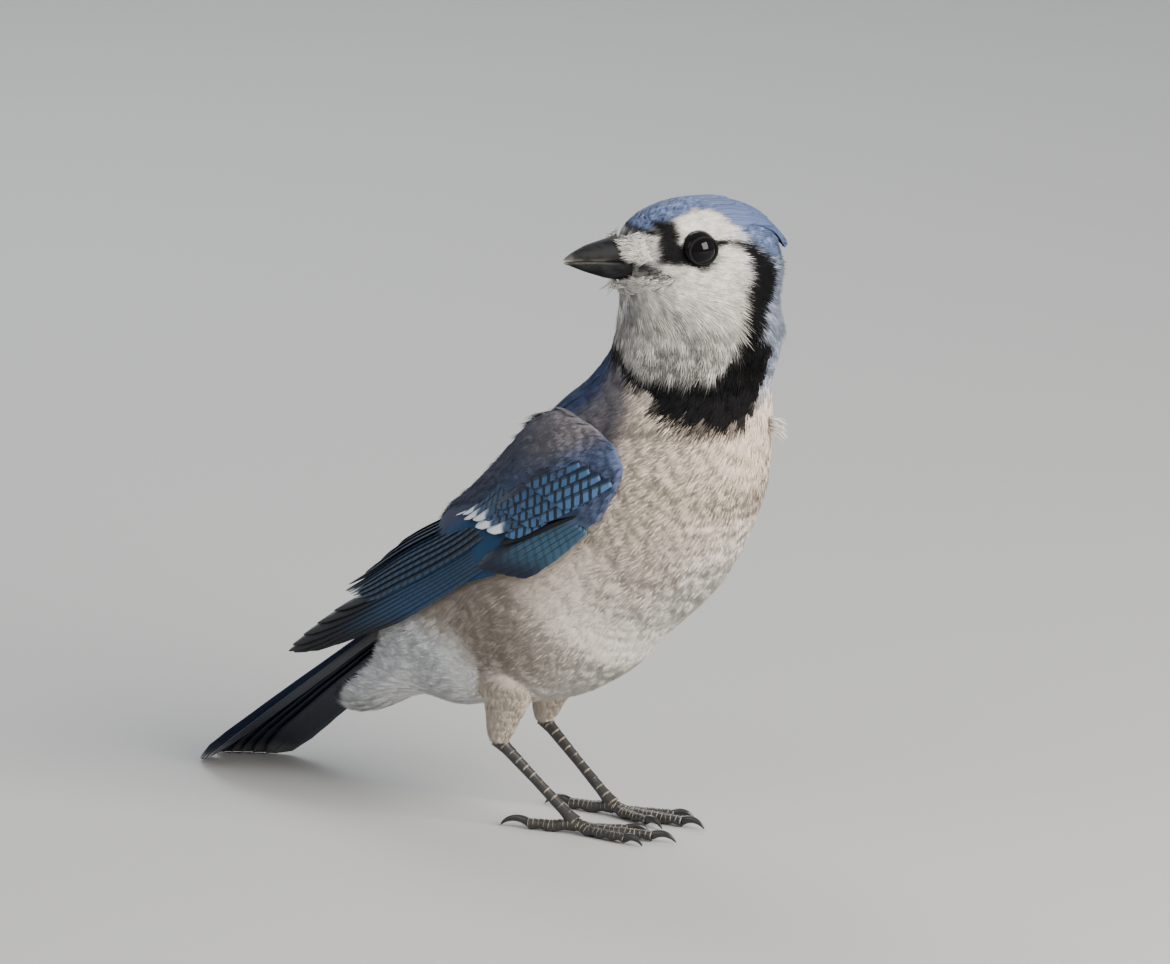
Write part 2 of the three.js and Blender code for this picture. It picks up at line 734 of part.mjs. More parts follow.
for (const [side, sign] of Object.entries(sides)) {
  const eye = new THREE.Mesh(new THREE.SphereGeometry(eyeRadius, 16, 10), materials.eye);
  eye.name = `eye_${side}`;
  eye.position.set(eyeAt[0], sign * eyeDepth, eyeAt[1]);
  head.add(eye);
  bird.add(meshOf(`wing_${side}`, wingSolid(side), materials.wing));
  bird.add(meshOf(`thigh_${side}`, thighSolid(side), materials.torso));
  bird.add(meshOf(`tarsus_${side}`, tarsusSolid(side), materials.leg));
  const { frame, foot, tips } = footSolids(side);
  const footGroup = new THREE.Group();
  footGroup.applyMatrix4(frame);
  footGroup.add(meshOf(`foot_${side}`, foot, materials.leg));
  tips.forEach((tip, i) => footGroup.add(meshOf(`claw_${toes[i].name}_${side}`, tip, materials.bill)));
  bird.add(footGroup);
}

// The origin is on the floor under the middle of the whole bird
const extent = new THREE.Box3().setFromObject(bird, true);
const middle = extent.getCenter(vec(0, 0, 0));
bird.position.set(-middle.x, -middle.y, -extent.min.z);

export default bird;
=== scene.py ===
# A blue jay, life size, standing and looking back over its right shoulder. The frame is in metres;
# the bird's own shapes are worked out in millimetres and placed at the end.
import json
import math

import bpy
import numpy as np
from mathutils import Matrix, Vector
from mathutils.kdtree import KDTree

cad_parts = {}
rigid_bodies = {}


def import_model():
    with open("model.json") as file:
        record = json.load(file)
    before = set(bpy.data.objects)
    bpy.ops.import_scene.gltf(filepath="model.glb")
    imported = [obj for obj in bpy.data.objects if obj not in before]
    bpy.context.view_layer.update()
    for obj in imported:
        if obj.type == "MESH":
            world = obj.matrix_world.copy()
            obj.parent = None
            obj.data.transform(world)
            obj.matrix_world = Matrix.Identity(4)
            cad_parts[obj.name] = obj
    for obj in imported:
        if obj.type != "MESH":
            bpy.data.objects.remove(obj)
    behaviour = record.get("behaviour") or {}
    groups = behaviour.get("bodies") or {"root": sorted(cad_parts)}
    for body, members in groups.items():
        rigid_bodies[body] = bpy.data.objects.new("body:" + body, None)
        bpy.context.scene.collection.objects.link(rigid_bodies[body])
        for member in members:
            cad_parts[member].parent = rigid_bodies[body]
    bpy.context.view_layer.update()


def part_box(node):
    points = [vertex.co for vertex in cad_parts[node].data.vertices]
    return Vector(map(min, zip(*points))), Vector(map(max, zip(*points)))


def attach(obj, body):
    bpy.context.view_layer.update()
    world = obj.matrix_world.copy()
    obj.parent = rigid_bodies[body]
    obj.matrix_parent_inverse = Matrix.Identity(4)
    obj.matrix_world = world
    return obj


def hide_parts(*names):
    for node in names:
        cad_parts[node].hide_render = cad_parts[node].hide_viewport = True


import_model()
rng = np.random.default_rng(7)
print("stage: frame loaded")


# Turning about an axis, and the head's own frame
def turning(first, second):
    def turn(deg):
        made = np.eye(3)
        made[first, first] = made[second, second] = math.cos(math.radians(deg))
        made[second, first] = math.sin(math.radians(deg))
        made[first, second] = -made[second, first]
        return made
    return turn


turnX, turnY, turnZ = turning(1, 2), turning(2, 0), turning(0, 1)
headPose = {"at": np.array([22.8, 0, 162.5]), "turn": -124, "pitch": 4}
headAxes = turnZ(headPose["turn"]) @ turnY(-headPose["pitch"])


def fromHead(p):
    return headPose["at"] + np.asarray(p, float) @ headAxes.T


def toHead(p):
    return (np.asarray(p) - headPose["at"]) @ headAxes


# The bird's millimetres to the frame's metres, from the middle between the eyes
eyePlace = {"forward": 7.1, "up": 2.1, "radius": 4.9, "standsOut": 2.2}
eyeMiddle = sum(np.array(c) for side in ("left", "right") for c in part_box(f"eye_{side}")) / 4
frameShift = eyeMiddle - fromHead([eyePlace["forward"], 0, eyePlace["up"]]) / 1000


def place(points):
    return np.asarray(points) / 1000 + frameShift


# The body's form: ellipsoids that melt into each other, below zero inside
def form(at, half, pitch, turn=0):
    return np.array(at, float), np.array(half, float), turnZ(turn) @ turnY(-pitch)


headTurn = headPose["turn"]
bodyForms = [
    form((-15, 0, 69), (42, 29, 30), 46),
    form((3.5, 0, 87), (32, 28.5, 29.5), 55),
    form((-10.5, 0, 103), (28, 24, 15), 47),
    form((11, 0, 102), (34, 28, 29), 60),
    form((-47, 0, 60), (32, 19, 17), 38),
    form((-44, 0, 46), (22, 19, 17), 24),
    form((-60, 0, 41.5), (33, 12, 9.5), 35),
    form((18.5, 0, 124), (24, 22.5, 23), 76),
    form((25.5, 0, 141), (20, 19.5, 19.5), 86),
    form(fromHead([3, 0, -0.6]), (22, 15, 14.6), 4, headTurn),
    form(fromHead([2, 0, -10]), (19, 15.5, 13.5), 4, headTurn),
    form(fromHead([4, 0, -24]), (18, 15, 18), 0, headTurn),
    form(fromHead([-10.5, 0, -3]), (10.5, 12.5, 9.5), 4, headTurn),
]
wingMound = form((-66, 0, 55), (52, 12.5, 8.5), 32)
melt = 7.0


def meltedField(points, forms):
    value = None
    for at, half, axes in forms:
        q = (points - at) @ axes
        near = np.sqrt(np.sum((q / half) ** 2, -1))
        steep = np.sqrt(np.sum((q / half**2) ** 2, -1)) + 1e-12
        other = near * (near - 1) / steep
        if value is None:
            value = other
        else:
            h = np.clip(0.5 + 0.5 * (other - value) / melt, 0, 1)
            value = other * (1 - h) + value * h - melt * h * (1 - h)
    return value


def unit(v):
    return v / (np.linalg.norm(v, axis=-1, keepdims=True) + 1e-9)


def slopeOf(points, forms, step=0.15):
    return unit(np.stack([meltedField(points + e * step, forms) - meltedField(points - e * step, forms)
                          for e in np.eye(3)], -1))


# How far a field's surface is from a centre, along a direction
def reach(centre, direction, forms, sink=0.0):
    low = np.zeros(centre.shape[:-1])
    high = np.full(low.shape, 90.0)
    open_ = np.ones(low.shape, bool)
    for t in np.arange(1.0, 90.0, 1.5):
        inside = meltedField(centre + direction * t, forms) < -sink
        stop = open_ & ~inside
        high[stop] = t
        low[open_ & inside] = t
        open_ &= inside
        if not open_.any():
            break
    for _ in range(14):
        mid = (low + high) / 2
        inside = meltedField(centre + direction * mid[..., None], forms) < -sink
        low = np.where(inside, mid, low)
        high = np.where(inside, high, mid)
    return low


def curveAt(knots, x):
    return np.interp(x, *zip(*knots))


def softened(values, taps):
    kernel = np.exp(-np.linspace(-2, 2, taps) ** 2)
    padded = np.pad(values, taps // 2, mode="reflect", reflect_type="odd")
    return np.convolve(padded, kernel / kernel.sum(), "valid")


def smooth(low, high, x):
    t = np.clip((np.asarray(x, float) - low) / (high - low), 0, 1)
    return t * t * (3 - 2 * t)


def wobble(points, scale, seed=0):
    a = np.sin(points * scale + seed * np.array([1.7, 2.3, 3.1]))
    b = np.sin(points[..., [1, 2, 0]] * scale * 1.9 + a * 1.3 + seed)
    return (a[..., 0] * b[..., 1] + a[..., 1] * b[..., 2] + b[..., 0] * a[..., 2]) / 2


def shade(r, g, b):
    c = np.array([r, g, b]) / 255
    return np.where(c <= 0.04045, c / 12.92, ((c + 0.055) / 1.055) ** 2.4)


# Meshes: made from points in millimetres, read back, and given attributes
def meshObject(name, points, faces, material):
    mesh = bpy.data.meshes.new(name)
    mesh.from_pydata(place(points).tolist(), [], [list(map(int, f)) for f in faces])
    mesh.validate()
    mesh.shade_smooth()
    mesh.materials.append(material)
    obj = bpy.data.objects.new(name, mesh)
    bpy.context.scene.collection.objects.link(obj)
    return obj


def readBack(items, key, width=1, kind=np.float32):
    flat = np.empty(len(items) * width, kind)
    items.foreach_get(key, flat)
    return flat.reshape(-1, width) if width > 1 else flat


def setColour(mesh, name, colours):
    layer = mesh.attributes.new(name, "FLOAT_COLOR", "POINT")
    rgba = np.ones((len(mesh.vertices), 4), np.float32)
    rgba[:, :3] = colours
    layer.data.foreach_set("color", rgba.ravel())


def setFloat(mesh, name, values):
    layer = mesh.attributes.new(name, "FLOAT", "POINT")
    layer.data.foreach_set("value", np.asarray(values, np.float32))


def setVector(mesh, name, values):
    layer = mesh.attributes.new(name, "FLOAT_VECTOR", "POINT")
    layer.data.foreach_set("vector", np.asarray(values, np.float32).ravel())


def setUv(mesh, name, perVertex):
    corner = readBack(mesh.loops, "vertex_index", kind=np.int32)
    layer = mesh.uv_layers.new(name=name)
    layer.uv.foreach_set("vector", np.asarray(perVertex, np.float32)[corner].ravel())


def outward(points, faces):
    volume = sum(np.dot(points[f[0]], np.cross(points[f[i]], points[f[i + 1]]))
                 for f in faces for i in range(1, len(f) - 1))
    return faces if volume >= 0 else [tuple(reversed(f)) for f in faces]


def gridFaces(rows, columns, start=0, closed=False):
    faces = []
    for i in range(rows - 1):
        for k in range(columns if closed else columns - 1):
            a = start + i * columns + k
            b = start + i * columns + (k + 1) % columns
            faces.append((a, b, b + columns, a + columns))
    return faces


# A closed tube from rings of the same size, fanned to a point at each end
def tubeMesh(rings):
    rings = np.asarray(rings, float)
    rows, sides = rings.shape[:2]
    points = np.concatenate([rings.reshape(-1, 3), [rings[0].mean(0), rings[-1].mean(0)]])
    faces = gridFaces(rows, sides, closed=True)
    head, tail = rows * sides, rows * sides + 1
    for k in range(sides):
        n = (k + 1) % sides
        faces.append((head, n, k))
        faces.append((tail, (rows - 1) * sides + k, (rows - 1) * sides + n))
    return points, outward(points, faces)


# Rings round a path, across it and level first
def ringsRound(path, radii, sides, flat=1.0, phase=0.0, tangent=None):
    tangent = unit(np.gradient(path, axis=0)) if tangent is None else tangent
    across = unit(np.cross(tangent, [0, 0, 1.0]))
    up = np.cross(across, tangent)
    angles = 2 * np.pi * (np.arange(sides) + phase) / sides
    return (path[:, None] + across[:, None] * (np.cos(angles) * radii * flat)[..., None]
            + up[:, None] * (np.sin(angles) * radii)[..., None])


# The faces of a three-sided spike with this many rings below its tip
def spikeFaces(count, start=0):
    faces = []
    for i in range(count):
        for k in range(3):
            a, b = start + i * 3 + k, start + i * 3 + (k + 1) % 3
            faces.append((a, b, start + count * 3) if i == count - 1 else (a, b, b + 3, a + 3))
    return faces + [(start + 2, start + 1, start)]


# A node tree with short forms for the nodes that come back
class Tree:
    def __init__(self, tree):
        self.tree = tree

    def node(self, kind, inputs=None, **settings):
        made = self.tree.nodes.new(kind)
        for key, value in settings.items():
            setattr(made, key, value)
        for key, value in (inputs or {}).items():
            if isinstance(value, bpy.types.NodeSocket):
                self.link(value, made.inputs[key])
            else:
                made.inputs[key].default_value = value
        return made

    def link(self, source, socket):
        self.tree.links.new(source, socket)

    def math(self, operation, a, b=0.0, clamp=False):
        return self.node("ShaderNodeMath", {0: a, 1: b}, operation=operation, use_clamp=clamp).outputs[0]

    def vector(self, operation, inputs):
        return self.node("ShaderNodeVectorMath", inputs, operation=operation).outputs[0]

    def attribute(self, name, output="Fac"):
        return self.node("ShaderNodeAttribute", attribute_name=name).outputs[output]

    def noise(self, scale, detail):
        coords = self.node("ShaderNodeTexCoord").outputs["Object"]
        return self.node("ShaderNodeTexNoise", {"Vector": coords, "Scale": scale, "Detail": detail}).outputs[0]

    def bump(self, height, strength):
        return self.node("ShaderNodeBump", {"Strength": strength, "Distance": 0.0002, "Height": height}).outputs[0]

    def uv(self, name):
        return self.node("ShaderNodeSeparateXYZ", {0: self.node("ShaderNodeUVMap", uv_map=name).outputs[0]}).outputs

    def mix(self, share, a, b, blend="MIX"):
        made = self.tree.nodes.new("ShaderNodeMix")
        made.data_type = "RGBA"
        made.blend_type = blend
        for socket, value in ((made.inputs[0], share), (made.inputs[6], a), (made.inputs[7], b)):
            if isinstance(value, bpy.types.NodeSocket):
                self.link(value, socket)
            else:
                socket.default_value = (*value, 1) if isinstance(value, tuple) else value
        return made.outputs[2]

    def shaded(self, colour, value):
        grey = self.node("ShaderNodeCombineColor", {0: value, 1: value, 2: value})
        return self.mix(1.0, colour, grey.outputs[0], "MULTIPLY")

    def span(self, value, low, high, to=(0.0, 1.0)):
        made = self.node("ShaderNodeMapRange", {0: value, 1: low, 2: high, 3: to[0], 4: to[1]})
        made.interpolation_type = "SMOOTHSTEP"
        return made.outputs[0]


def material(name, values):
    mat = bpy.data.materials.new(name)
    mat.use_nodes = True
    shader = mat.node_tree.nodes["Principled BSDF"].inputs
    for key, value in values.items():
        shader[key].default_value = value
    return mat, Tree(mat.node_tree), shader


# Shared effect: fine strands along a feather, as a value and a normal
def strandGroup():
    group = bpy.data.node_groups.new("strands", "ShaderNodeTree")
    for name in ("Across", "Along", "Count", "Slant", "Height"):
        group.interface.new_socket(name, in_out="INPUT", socket_type="NodeSocketFloat")
    group.interface.new_socket("Mask", in_out="OUTPUT", socket_type="NodeSocketFloat")
    group.interface.new_socket("Normal", in_out="OUTPUT", socket_type="NodeSocketVector")
    t = Tree(group)
    given = t.node("NodeGroupInput").outputs
    fold = t.math("ABSOLUTE", t.math("SUBTRACT", given["Across"], 0.5))
    slanted = t.math("SUBTRACT", given["Along"], t.math("MULTIPLY", fold, given["Slant"]))
    wave = t.math("SINE", t.math("ADD", t.math("MULTIPLY", slanted, given["Count"]),
                                 t.math("MULTIPLY", t.noise(1400.0, 2.0), 5.0)))
    mask = t.span(wave, -1.0, 1.0)
    t.node("NodeGroupOutput", {"Mask": mask, "Normal": t.bump(mask, given["Height"])})
    return group


# Downy plumage: the tint at each tuft's root, darkened towards its base as painted shade where the tufts cover each
# other, and streaked along it
def plumageMaterial(name, base, softness, roughness=0.75, mottle=(0.93, 1.03)):
    mat, t, shader = material(name, {"Roughness": roughness, "Specular IOR Level": 0.15})
    if softness > 0:
        own = t.node("ShaderNodeNewGeometry").outputs["Normal"]
        under = t.vector("SCALE", {0: t.attribute("coatNormal", "Vector"), "Scale": softness / (1 - softness)})
        t.link(t.vector("NORMALIZE", {0: t.vector("ADD", {0: own, 1: under})}), shader["Normal"])
    # Painted shade: each blade is darker towards its root, down to the share given as base
    root = t.span(t.uv("tuftUv")[1], 0.0, 0.55, (base, 1.0))
    streak = t.span(t.noise(900.0, 3.0), 0.3, 0.7, (0.93, 1.05))
    own = t.span(t.attribute("toneShift"), 0.0, 1.0, mottle)
    strength = t.math("MULTIPLY", t.math("MULTIPLY", root, streak), own)
    t.link(t.shaded(t.attribute("tint", "Color"), strength), shader["Base Color"])
    return mat


def skinMaterial():
    mat, t, shader = material("underplumage", {"Roughness": 0.9, "Specular IOR Level": 0.1})
    noise = t.noise(500.0, 4.0)
    t.link(t.shaded(t.attribute("tint", "Color"), t.span(noise, 0.3, 0.7, (0.9, 0.98))), shader["Base Color"])
    t.link(t.bump(noise, 0.2), shader["Normal"])
    return mat


# Camera, lights and floor
cameraPlan = {"azimuth": 30.0, "elevation": 14.0, "pixelsPerMm": 3.75, "distance": 4000.0,
              "originPixel": (626.0, 830.0), "width": 1170, "height": 964}
az, el = math.radians(cameraPlan["azimuth"]), math.radians(cameraPlan["elevation"])
rightOf = np.array([math.cos(az), math.sin(az), 0])
backOf = np.array([math.sin(az) * math.cos(el), -math.cos(az) * math.cos(el), math.sin(el)])
upOf = np.array([-math.sin(az) * math.sin(el), math.cos(az) * math.sin(el), math.cos(el)])
aside = (cameraPlan["width"] / 2 - cameraPlan["originPixel"][0]) / cameraPlan["pixelsPerMm"]
above = -(cameraPlan["height"] / 2 - cameraPlan["originPixel"][1]) / cameraPlan["pixelsPerMm"]
target = place(rightOf * aside + upOf * above)

cameraData = bpy.data.cameras.new("camera")
cameraData.sensor_width = 36
cameraData.lens = cameraPlan["pixelsPerMm"] * cameraPlan["distance"] * 36 / cameraPlan["width"]
cameraData.clip_end = 100
camera = bpy.data.objects.new("camera", cameraData)
camera.location = Vector(target + backOf * cameraPlan["distance"] / 1000)
camera.rotation_euler = Vector(backOf).to_track_quat("Z", "Y").to_euler()
bpy.context.scene.collection.objects.link(camera)
bpy.context.scene.camera = camera


def areaLight(name, at, size, power, colour):
    data = bpy.data.lights.new(name, "AREA")
    data.size = size
    data.energy = power
    data.color = colour
    obj = bpy.data.objects.new(name, data)
    obj.location = at
    obj.rotation_euler = (Vector(at) - Vector(target)).to_track_quat("Z", "Y").to_euler()
    bpy.context.scene.collection.objects.link(obj)


# Each light's way from the bird (to the right, towards the camera, up), distance, size, power and colour
lightPlan = {
    "keyLight": ((0.85, 0.8, 0.42), 0.95, 0.8, 38, (1.0, 0.94, 0.86)),
    "fillLight": ((-1.0, 0.8, 0.5), 1.1, 0.9, 5, (0.9, 0.95, 1.0)),
    "backLight": ((-0.3, -0.9, 0.9), 1.0, 0.6, 6, (0.92, 0.96, 1.0)),
}
for name, ((right, ahead, high), far, *rest) in lightPlan.items():
    areaLight(name, target + (rightOf * right + backOf * ahead + np.array([0, 0, high])) * far, *rest)
world = bpy.data.worlds.new("studio")
world.use_nodes = True
world.node_tree.nodes["Background"].inputs[0].default_value = (0.83, 0.87, 0.92, 1)
world.node_tree.nodes["Background"].inputs[1].default_value = 0.62
bpy.context.scene.world = world

floorMat = material("studioFloor", {"Base Color": (0.42, 0.42, 0.41, 1), "Roughness": 0.8})[0]
floorMesh = bpy.data.meshes.new("studioFloor")
floorMesh.from_pydata([(-30, -30, 0), (30, -30, 0), (30, 30, 0), (-30, 30, 0)], [], [(0, 1, 2, 3)])
floorMesh.materials.append(floorMat)
floor = bpy.data.objects.new("studioFloor", floorMesh)
bpy.context.scene.collection.objects.link(floor)
print("stage: camera, light and floor")


# The skin: rings round the bird's spine, a little under the solids, with a sleeve for each thigh
skinPlan = {"rings": 190, "sides": 132, "rearFan": 10, "headFan": 34, "depthBody": 1.3, "depthHead": 1.0,
            "voxel": 0.00085, "evenSteps": 4, "normalSteps": 18}
spineKnots = np.array([(-80, 30.5), (-62, 42), (-40, 55), (-16, 75), (6, 101), (18, 128), (22.5, 148), (22.8, 160)])
spineSteps = 400


def makeSkin():
    plan = skinPlan
    stations = [(0.0, -90 + 90 * i / plan["rearFan"]) for i in range(plan["rearFan"])]
    stations += [(i / plan["rings"], 0.0) for i in range(plan["rings"] + 1)]
    stations += [(1.0, 90 * i / plan["headFan"]) for i in range(1, plan["headFan"] + 1)]
    seg = np.r_[0, np.cumsum(np.linalg.norm(np.diff(spineKnots, axis=0), axis=1))]
    far = np.linspace(0, 1, spineSteps) * seg[-1]
    x, z = (softened(np.interp(far, seg, spineKnots[:, k]), 61) for k in (0, 1))
    line = np.stack([x, np.zeros(spineSteps), z], -1)
    tangents = unit(np.gradient(line, axis=0))
    centres, directions, unwrap = [], [], []
    sides = plan["sides"]
    angles = 2 * np.pi * np.arange(sides) / sides
    for row, (share, lean) in enumerate(stations):
        i = int(round(share * (spineSteps - 1)))
        c, tan = line[i], tangents[i]
        up = unit(np.cross([0, -1.0, 0], tan))
        d = np.outer(np.cos(angles), [0, 1.0, 0]) + np.outer(np.sin(angles), up)
        lean = math.radians(max(-89.6, min(89.6, lean)))
        d = d * math.cos(lean) + tan * math.sin(lean)
        centres.append(np.repeat(c[None], sides, 0))
        directions.append(d)
        unwrap.append(np.stack([angles / (2 * np.pi), np.full(sides, row / (len(stations) - 1))], -1))
    centres, directions, unwrap = map(np.array, (centres, directions, unwrap))
    return centres + directions * reach(centres, directions, bodyForms)[..., None], unwrap


rings, unwrap = makeSkin()
skinPoints, skinUv = rings.reshape(-1, 3), unwrap.reshape(-1, 2)
print("stage: skin points", len(skinPoints))


# The lie of the coat: back from the bill on the head, then along the body to the tail
def coatLie(points, normals):
    h = toHead(points)
    onHeadFlow = unit(h - np.array([34, 0, -1.0])) @ headAxes.T
    down = np.array([0, 0, -1.0])
    throat = smooth(-6, -26, h[..., 2])[..., None]
    onHeadFlow = onHeadFlow * (1 - throat) + down * throat
    tailwards = np.array([-0.80, 0, -0.60])
    neck = smooth(150, 112, points[..., 2])[..., None]
    flow = onHeadFlow * (1 - neck) + tailwards * neck
    under = smooth(60, 40, points[..., 2])[..., None] * smooth(-10, -40, points[..., 0])[..., None]
    flow = flow * (1 - under) + np.array([-0.95, 0, -0.05]) * under
    flow -= np.sum(flow * normals, -1, keepdims=True) * normals
    return unit(flow)


tones = {
    "crown": shade(98, 114, 150), "crest": shade(80, 99, 142), "white": shade(230, 226, 219),
    "cheek": shade(222, 218, 211), "grey": shade(150, 147, 148), "black": shade(14, 13, 15),
    "nape": shade(182, 192, 216), "breast": shade(228, 210, 192), "belly": shade(248, 242, 233),
    "flank": shade(142, 128, 114), "vent": shade(232, 233, 234), "mantle": shade(122, 117, 122),
    "rump": shade(60, 76, 112), "backBlue": shade(52, 66, 100),
}
marks = {
    "crownEdge": [(-26, -6), (-20, -3), (-13.7, 0.3), (-8.5, 3.6), (-4.3, 8.2), (0.7, 12.0), (6.6, 12.8), (12, 10.8),
                  (18.9, 7.2), (24, 5.5)],
    "stripeFront": [(-28, -2.4), (-18, -1.9), (-11.4, -3.4), (-5, -6.9), (0.1, -6.3), (3.4, -4.1)],
    "stripeBack": [(-28, -6.4), (-20, -8.7), (-14.3, -9.6), (-10.1, -14.4), (-5.1, -15.5), (0.3, -13.7), (3.6, -8.5)],
    "collarTop": [(-230, 146), (-190, 143), (-150, 138.5), (-111, 132.5), (-92, 130), (-69, 128.5), (-46, 130.3),
                  (-33, 135), (-24, 140)],
    "gapeLow": [(11, -5.9), (16, -5.7), (19, -6.4), (22, -7.9)], "gapeTop": [(11, -5.6), (16, -4.3), (22, -2.4)],
    "collarLow": [(-230, 141), (-190, 138), (-150, 133.5), (-113, 129.2), (-96, 125), (-79, 119), (-57, 116.2),
                  (-36, 115.5), (-14, 116), (-8, 120), (-2, 126), (0, 131)],
}


def over(base, colour, mask):
    return base * (1 - mask[..., None]) + colour * mask[..., None]


# The colour at a place on the bird: body, neck and throat, head, and the black marks over them
def markings(points, normals):
    px, py, pz = np.moveaxis(points, -1, 0)
    x, _, z = np.moveaxis(toHead(points), -1, 0)
    rag = wobble(points, 0.9, 1) * 0.5 + wobble(points, 2.1, 2) * 0.35
    back = np.sum(normals * np.array([-0.74, 0, 0.67]), -1) + 0.04 * rag
    low = smooth(95, 55, pz - 0.15 * px)
    middle = smooth(24, 6, np.abs(py) + 3 * rag)
    colour = np.broadcast_to(tones["breast"], points.shape).copy()
    colour = over(colour, tones["belly"], np.clip(low * 0.55 + middle * low * 0.7, 0, 1))
    flank = smooth(-2, -26, px) * smooth(0.45, 0.9, np.abs(normals[..., 1])) * smooth(34, 48, pz)
    colour = over(colour, tones["flank"], flank * 0.75)
    vent = smooth(-34, -46, px + 2 * rag) * smooth(62, 50, pz + 0.5 * px + 30)
    colour = over(colour, tones["vent"], vent * 0.9)
    mantle = smooth(0.02, 0.24, back) * smooth(152, 138, pz + 4 * rag)
    shoulder = smooth(-0.45, -0.1, back) * smooth(11, 3, px - 0.25 * (pz - 118)) * smooth(100, 106, pz)
    mantle = np.maximum(mantle, shoulder * smooth(140, 130, pz)) * np.maximum(smooth(72, 88, pz), smooth(0.55, 0.8, back))
    mantleTone = over(tones["mantle"], tones["backBlue"], smooth(0.45, 0.8, back))
    mantleTone = over(mantleTone, tones["rump"], smooth(86, 66, pz))
    colour = over(colour, mantleTone, mantle)

    upper = smooth(116, 128, pz + 1.5 * rag)
    bearing = np.degrees(np.arctan2(py, px - 20))
    bearing = np.where(bearing > 120, bearing - 360, bearing)
    collarTop, collarLow = curveAt(marks["collarTop"], bearing), curveAt(marks["collarLow"], bearing)
    throat = upper * smooth(-8, -20, bearing) * smooth(-232, -224, bearing) * smooth(-1.5, 1.5, pz - collarLow)
    colour = over(colour, tones["cheek"], throat)
    colour = over(colour, tones["nape"], upper * smooth(-24, -12, bearing))

    onHead = smooth(-24, -16, z)
    colour = over(colour, tones["white"], onHead * smooth(-9, -3, x - 0.25 * z))
    streak = wobble(toHead(points) * np.array([1, 1, 0.16]), 3.0, 5)
    fineStreak = smooth(-0.12, 0.3, streak)
    greyThroat = smooth(-3, 12, x) * smooth(-6, -14, z) * (0.12 + 0.75 * fineStreak) * np.maximum(onHead, throat)
    colour = over(colour, tones["grey"] * 0.5, np.clip(greyThroat, 0, 0.85))
    colour = over(colour, tones["grey"], smooth(1, -7, z) * fineStreak * 0.55 * onHead)
    lores = smooth(15, 19, x) * smooth(-5, -2, z) * smooth(8, 5.5, z)
    colour = over(colour, tones["grey"] * 1.25, lores * (0.6 + 0.3 * streak))
    front, rear = curveAt(marks["stripeFront"], z), curveAt(marks["stripeBack"], z)
    crown = smooth(-0.5, 0.5, z - curveAt(marks["crownEdge"], x) + 0.5 * rag)
    behind = smooth(0.4, -0.8, x - rear) * smooth(4, 1, z)
    colour = over(colour, tones["nape"], onHead * np.maximum(smooth(-13.5, -16.5, x), behind) * (1 - crown))
    scales = 0.62 + 0.6 * smooth(-0.5, 0.4, wobble(toHead(points), 1.5, 9))
    colour = over(colour, tones["crown"] * scales[..., None], crown)

    foreheadLine = smooth(1.1, 0.5, np.abs(z - 6.2 + 0.3 * rag)) * smooth(18.2, 19.2, x)
    bar = smooth(12.6, 13.8, x + 0.4 * rag + 2.0 * smooth(4.5, 0.5, z)) * smooth(19.4, 18.4, x + 0.4 * rag)
    bar *= smooth(-2.8, -1.6, z) * smooth(10.2, 9.0, z + 0.5 * rag)
    link = smooth(1.6, 0.9, np.abs(z - 0.6)) * smooth(11, 12, x) * smooth(15, 14, x)
    lineAt = curveAt([(-9, 2.6), (-4, 3.9), (2.5, 4.3)], x)
    eyeLine = smooth(1.3, 0.7, np.abs(z - lineAt)) * smooth(-9, -8, x) * smooth(4, 2.5, x)
    eyeRim = smooth(6.1, 5.2, np.hypot(x - eyePlace["forward"], (z - eyePlace["up"]) * 1.08))
    stripe = smooth(-0.6, 0.6, front - x + 0.8 * rag) * smooth(-0.6, 0.6, x - rear + 0.8 * rag)
    stripe *= smooth(4.4, 3.4, z) * smooth(-29, -26, z)
    collar = smooth(-1.3, 1.0, collarTop - pz + 1.6 * rag) * smooth(-1.3, 1.0, pz - collarLow + 2.2 * rag)
    collar *= smooth(2, -3, bearing + 2 * rag) * smooth(-231, -228, bearing)
    gape = smooth(-0.3, 0.4, z - curveAt(marks["gapeLow"], x)) * smooth(-0.3, 0.4, curveAt(marks["gapeTop"], x) - z)
    gape *= smooth(11.5, 13, x) * (0.75 + 0.25 * streak)
    colour = over(colour, shade(26, 26, 29), np.clip(gape, 0, 1))
    black = np.maximum.reduce([foreheadLine, bar, link, eyeLine, eyeRim, stripe, collar])
    return np.clip(over(colour, tones["black"], np.clip(black, 0, 1)), 0, 1)


# Coat depth and feather length over the body
def coatLength(points):
    x, _, z = np.moveaxis(toHead(points), -1, 0)
    onHead = smooth(-30, -14, z)
    length = curveAt([(-25, 6.0), (-10, 4.6), (8, 3.0), (20, 2.3), (26, 2.0)], x)
    length = np.where(z < -8, np.maximum(length, 4.0 + 3.5 * smooth(-8, -20, z)), length)
    body = 9.5 - 1.0 * smooth(60, 40, points[..., 2])
    return length * onHead + body * (1 - onHead)


def inward(points):
    share = smooth(-30, -12, toHead(points)[..., 2])
    return skinPlan["depthBody"] * (1 - share) + skinPlan["depthHead"] * share


legPlan = {
    "heel": {"right": (-32.5, -12, 23.5), "left": (-33, 13, 23.5)},
    "foot": {"right": (-10, -10, 3.2), "left": (-10.5, 11, 3.2)},
    "thighTop": {"right": (-25.5, -12.4, 51.3), "left": (-25.8, 13.6, 51.1)},
    "footTurn": {"right": 9, "left": -2},
}


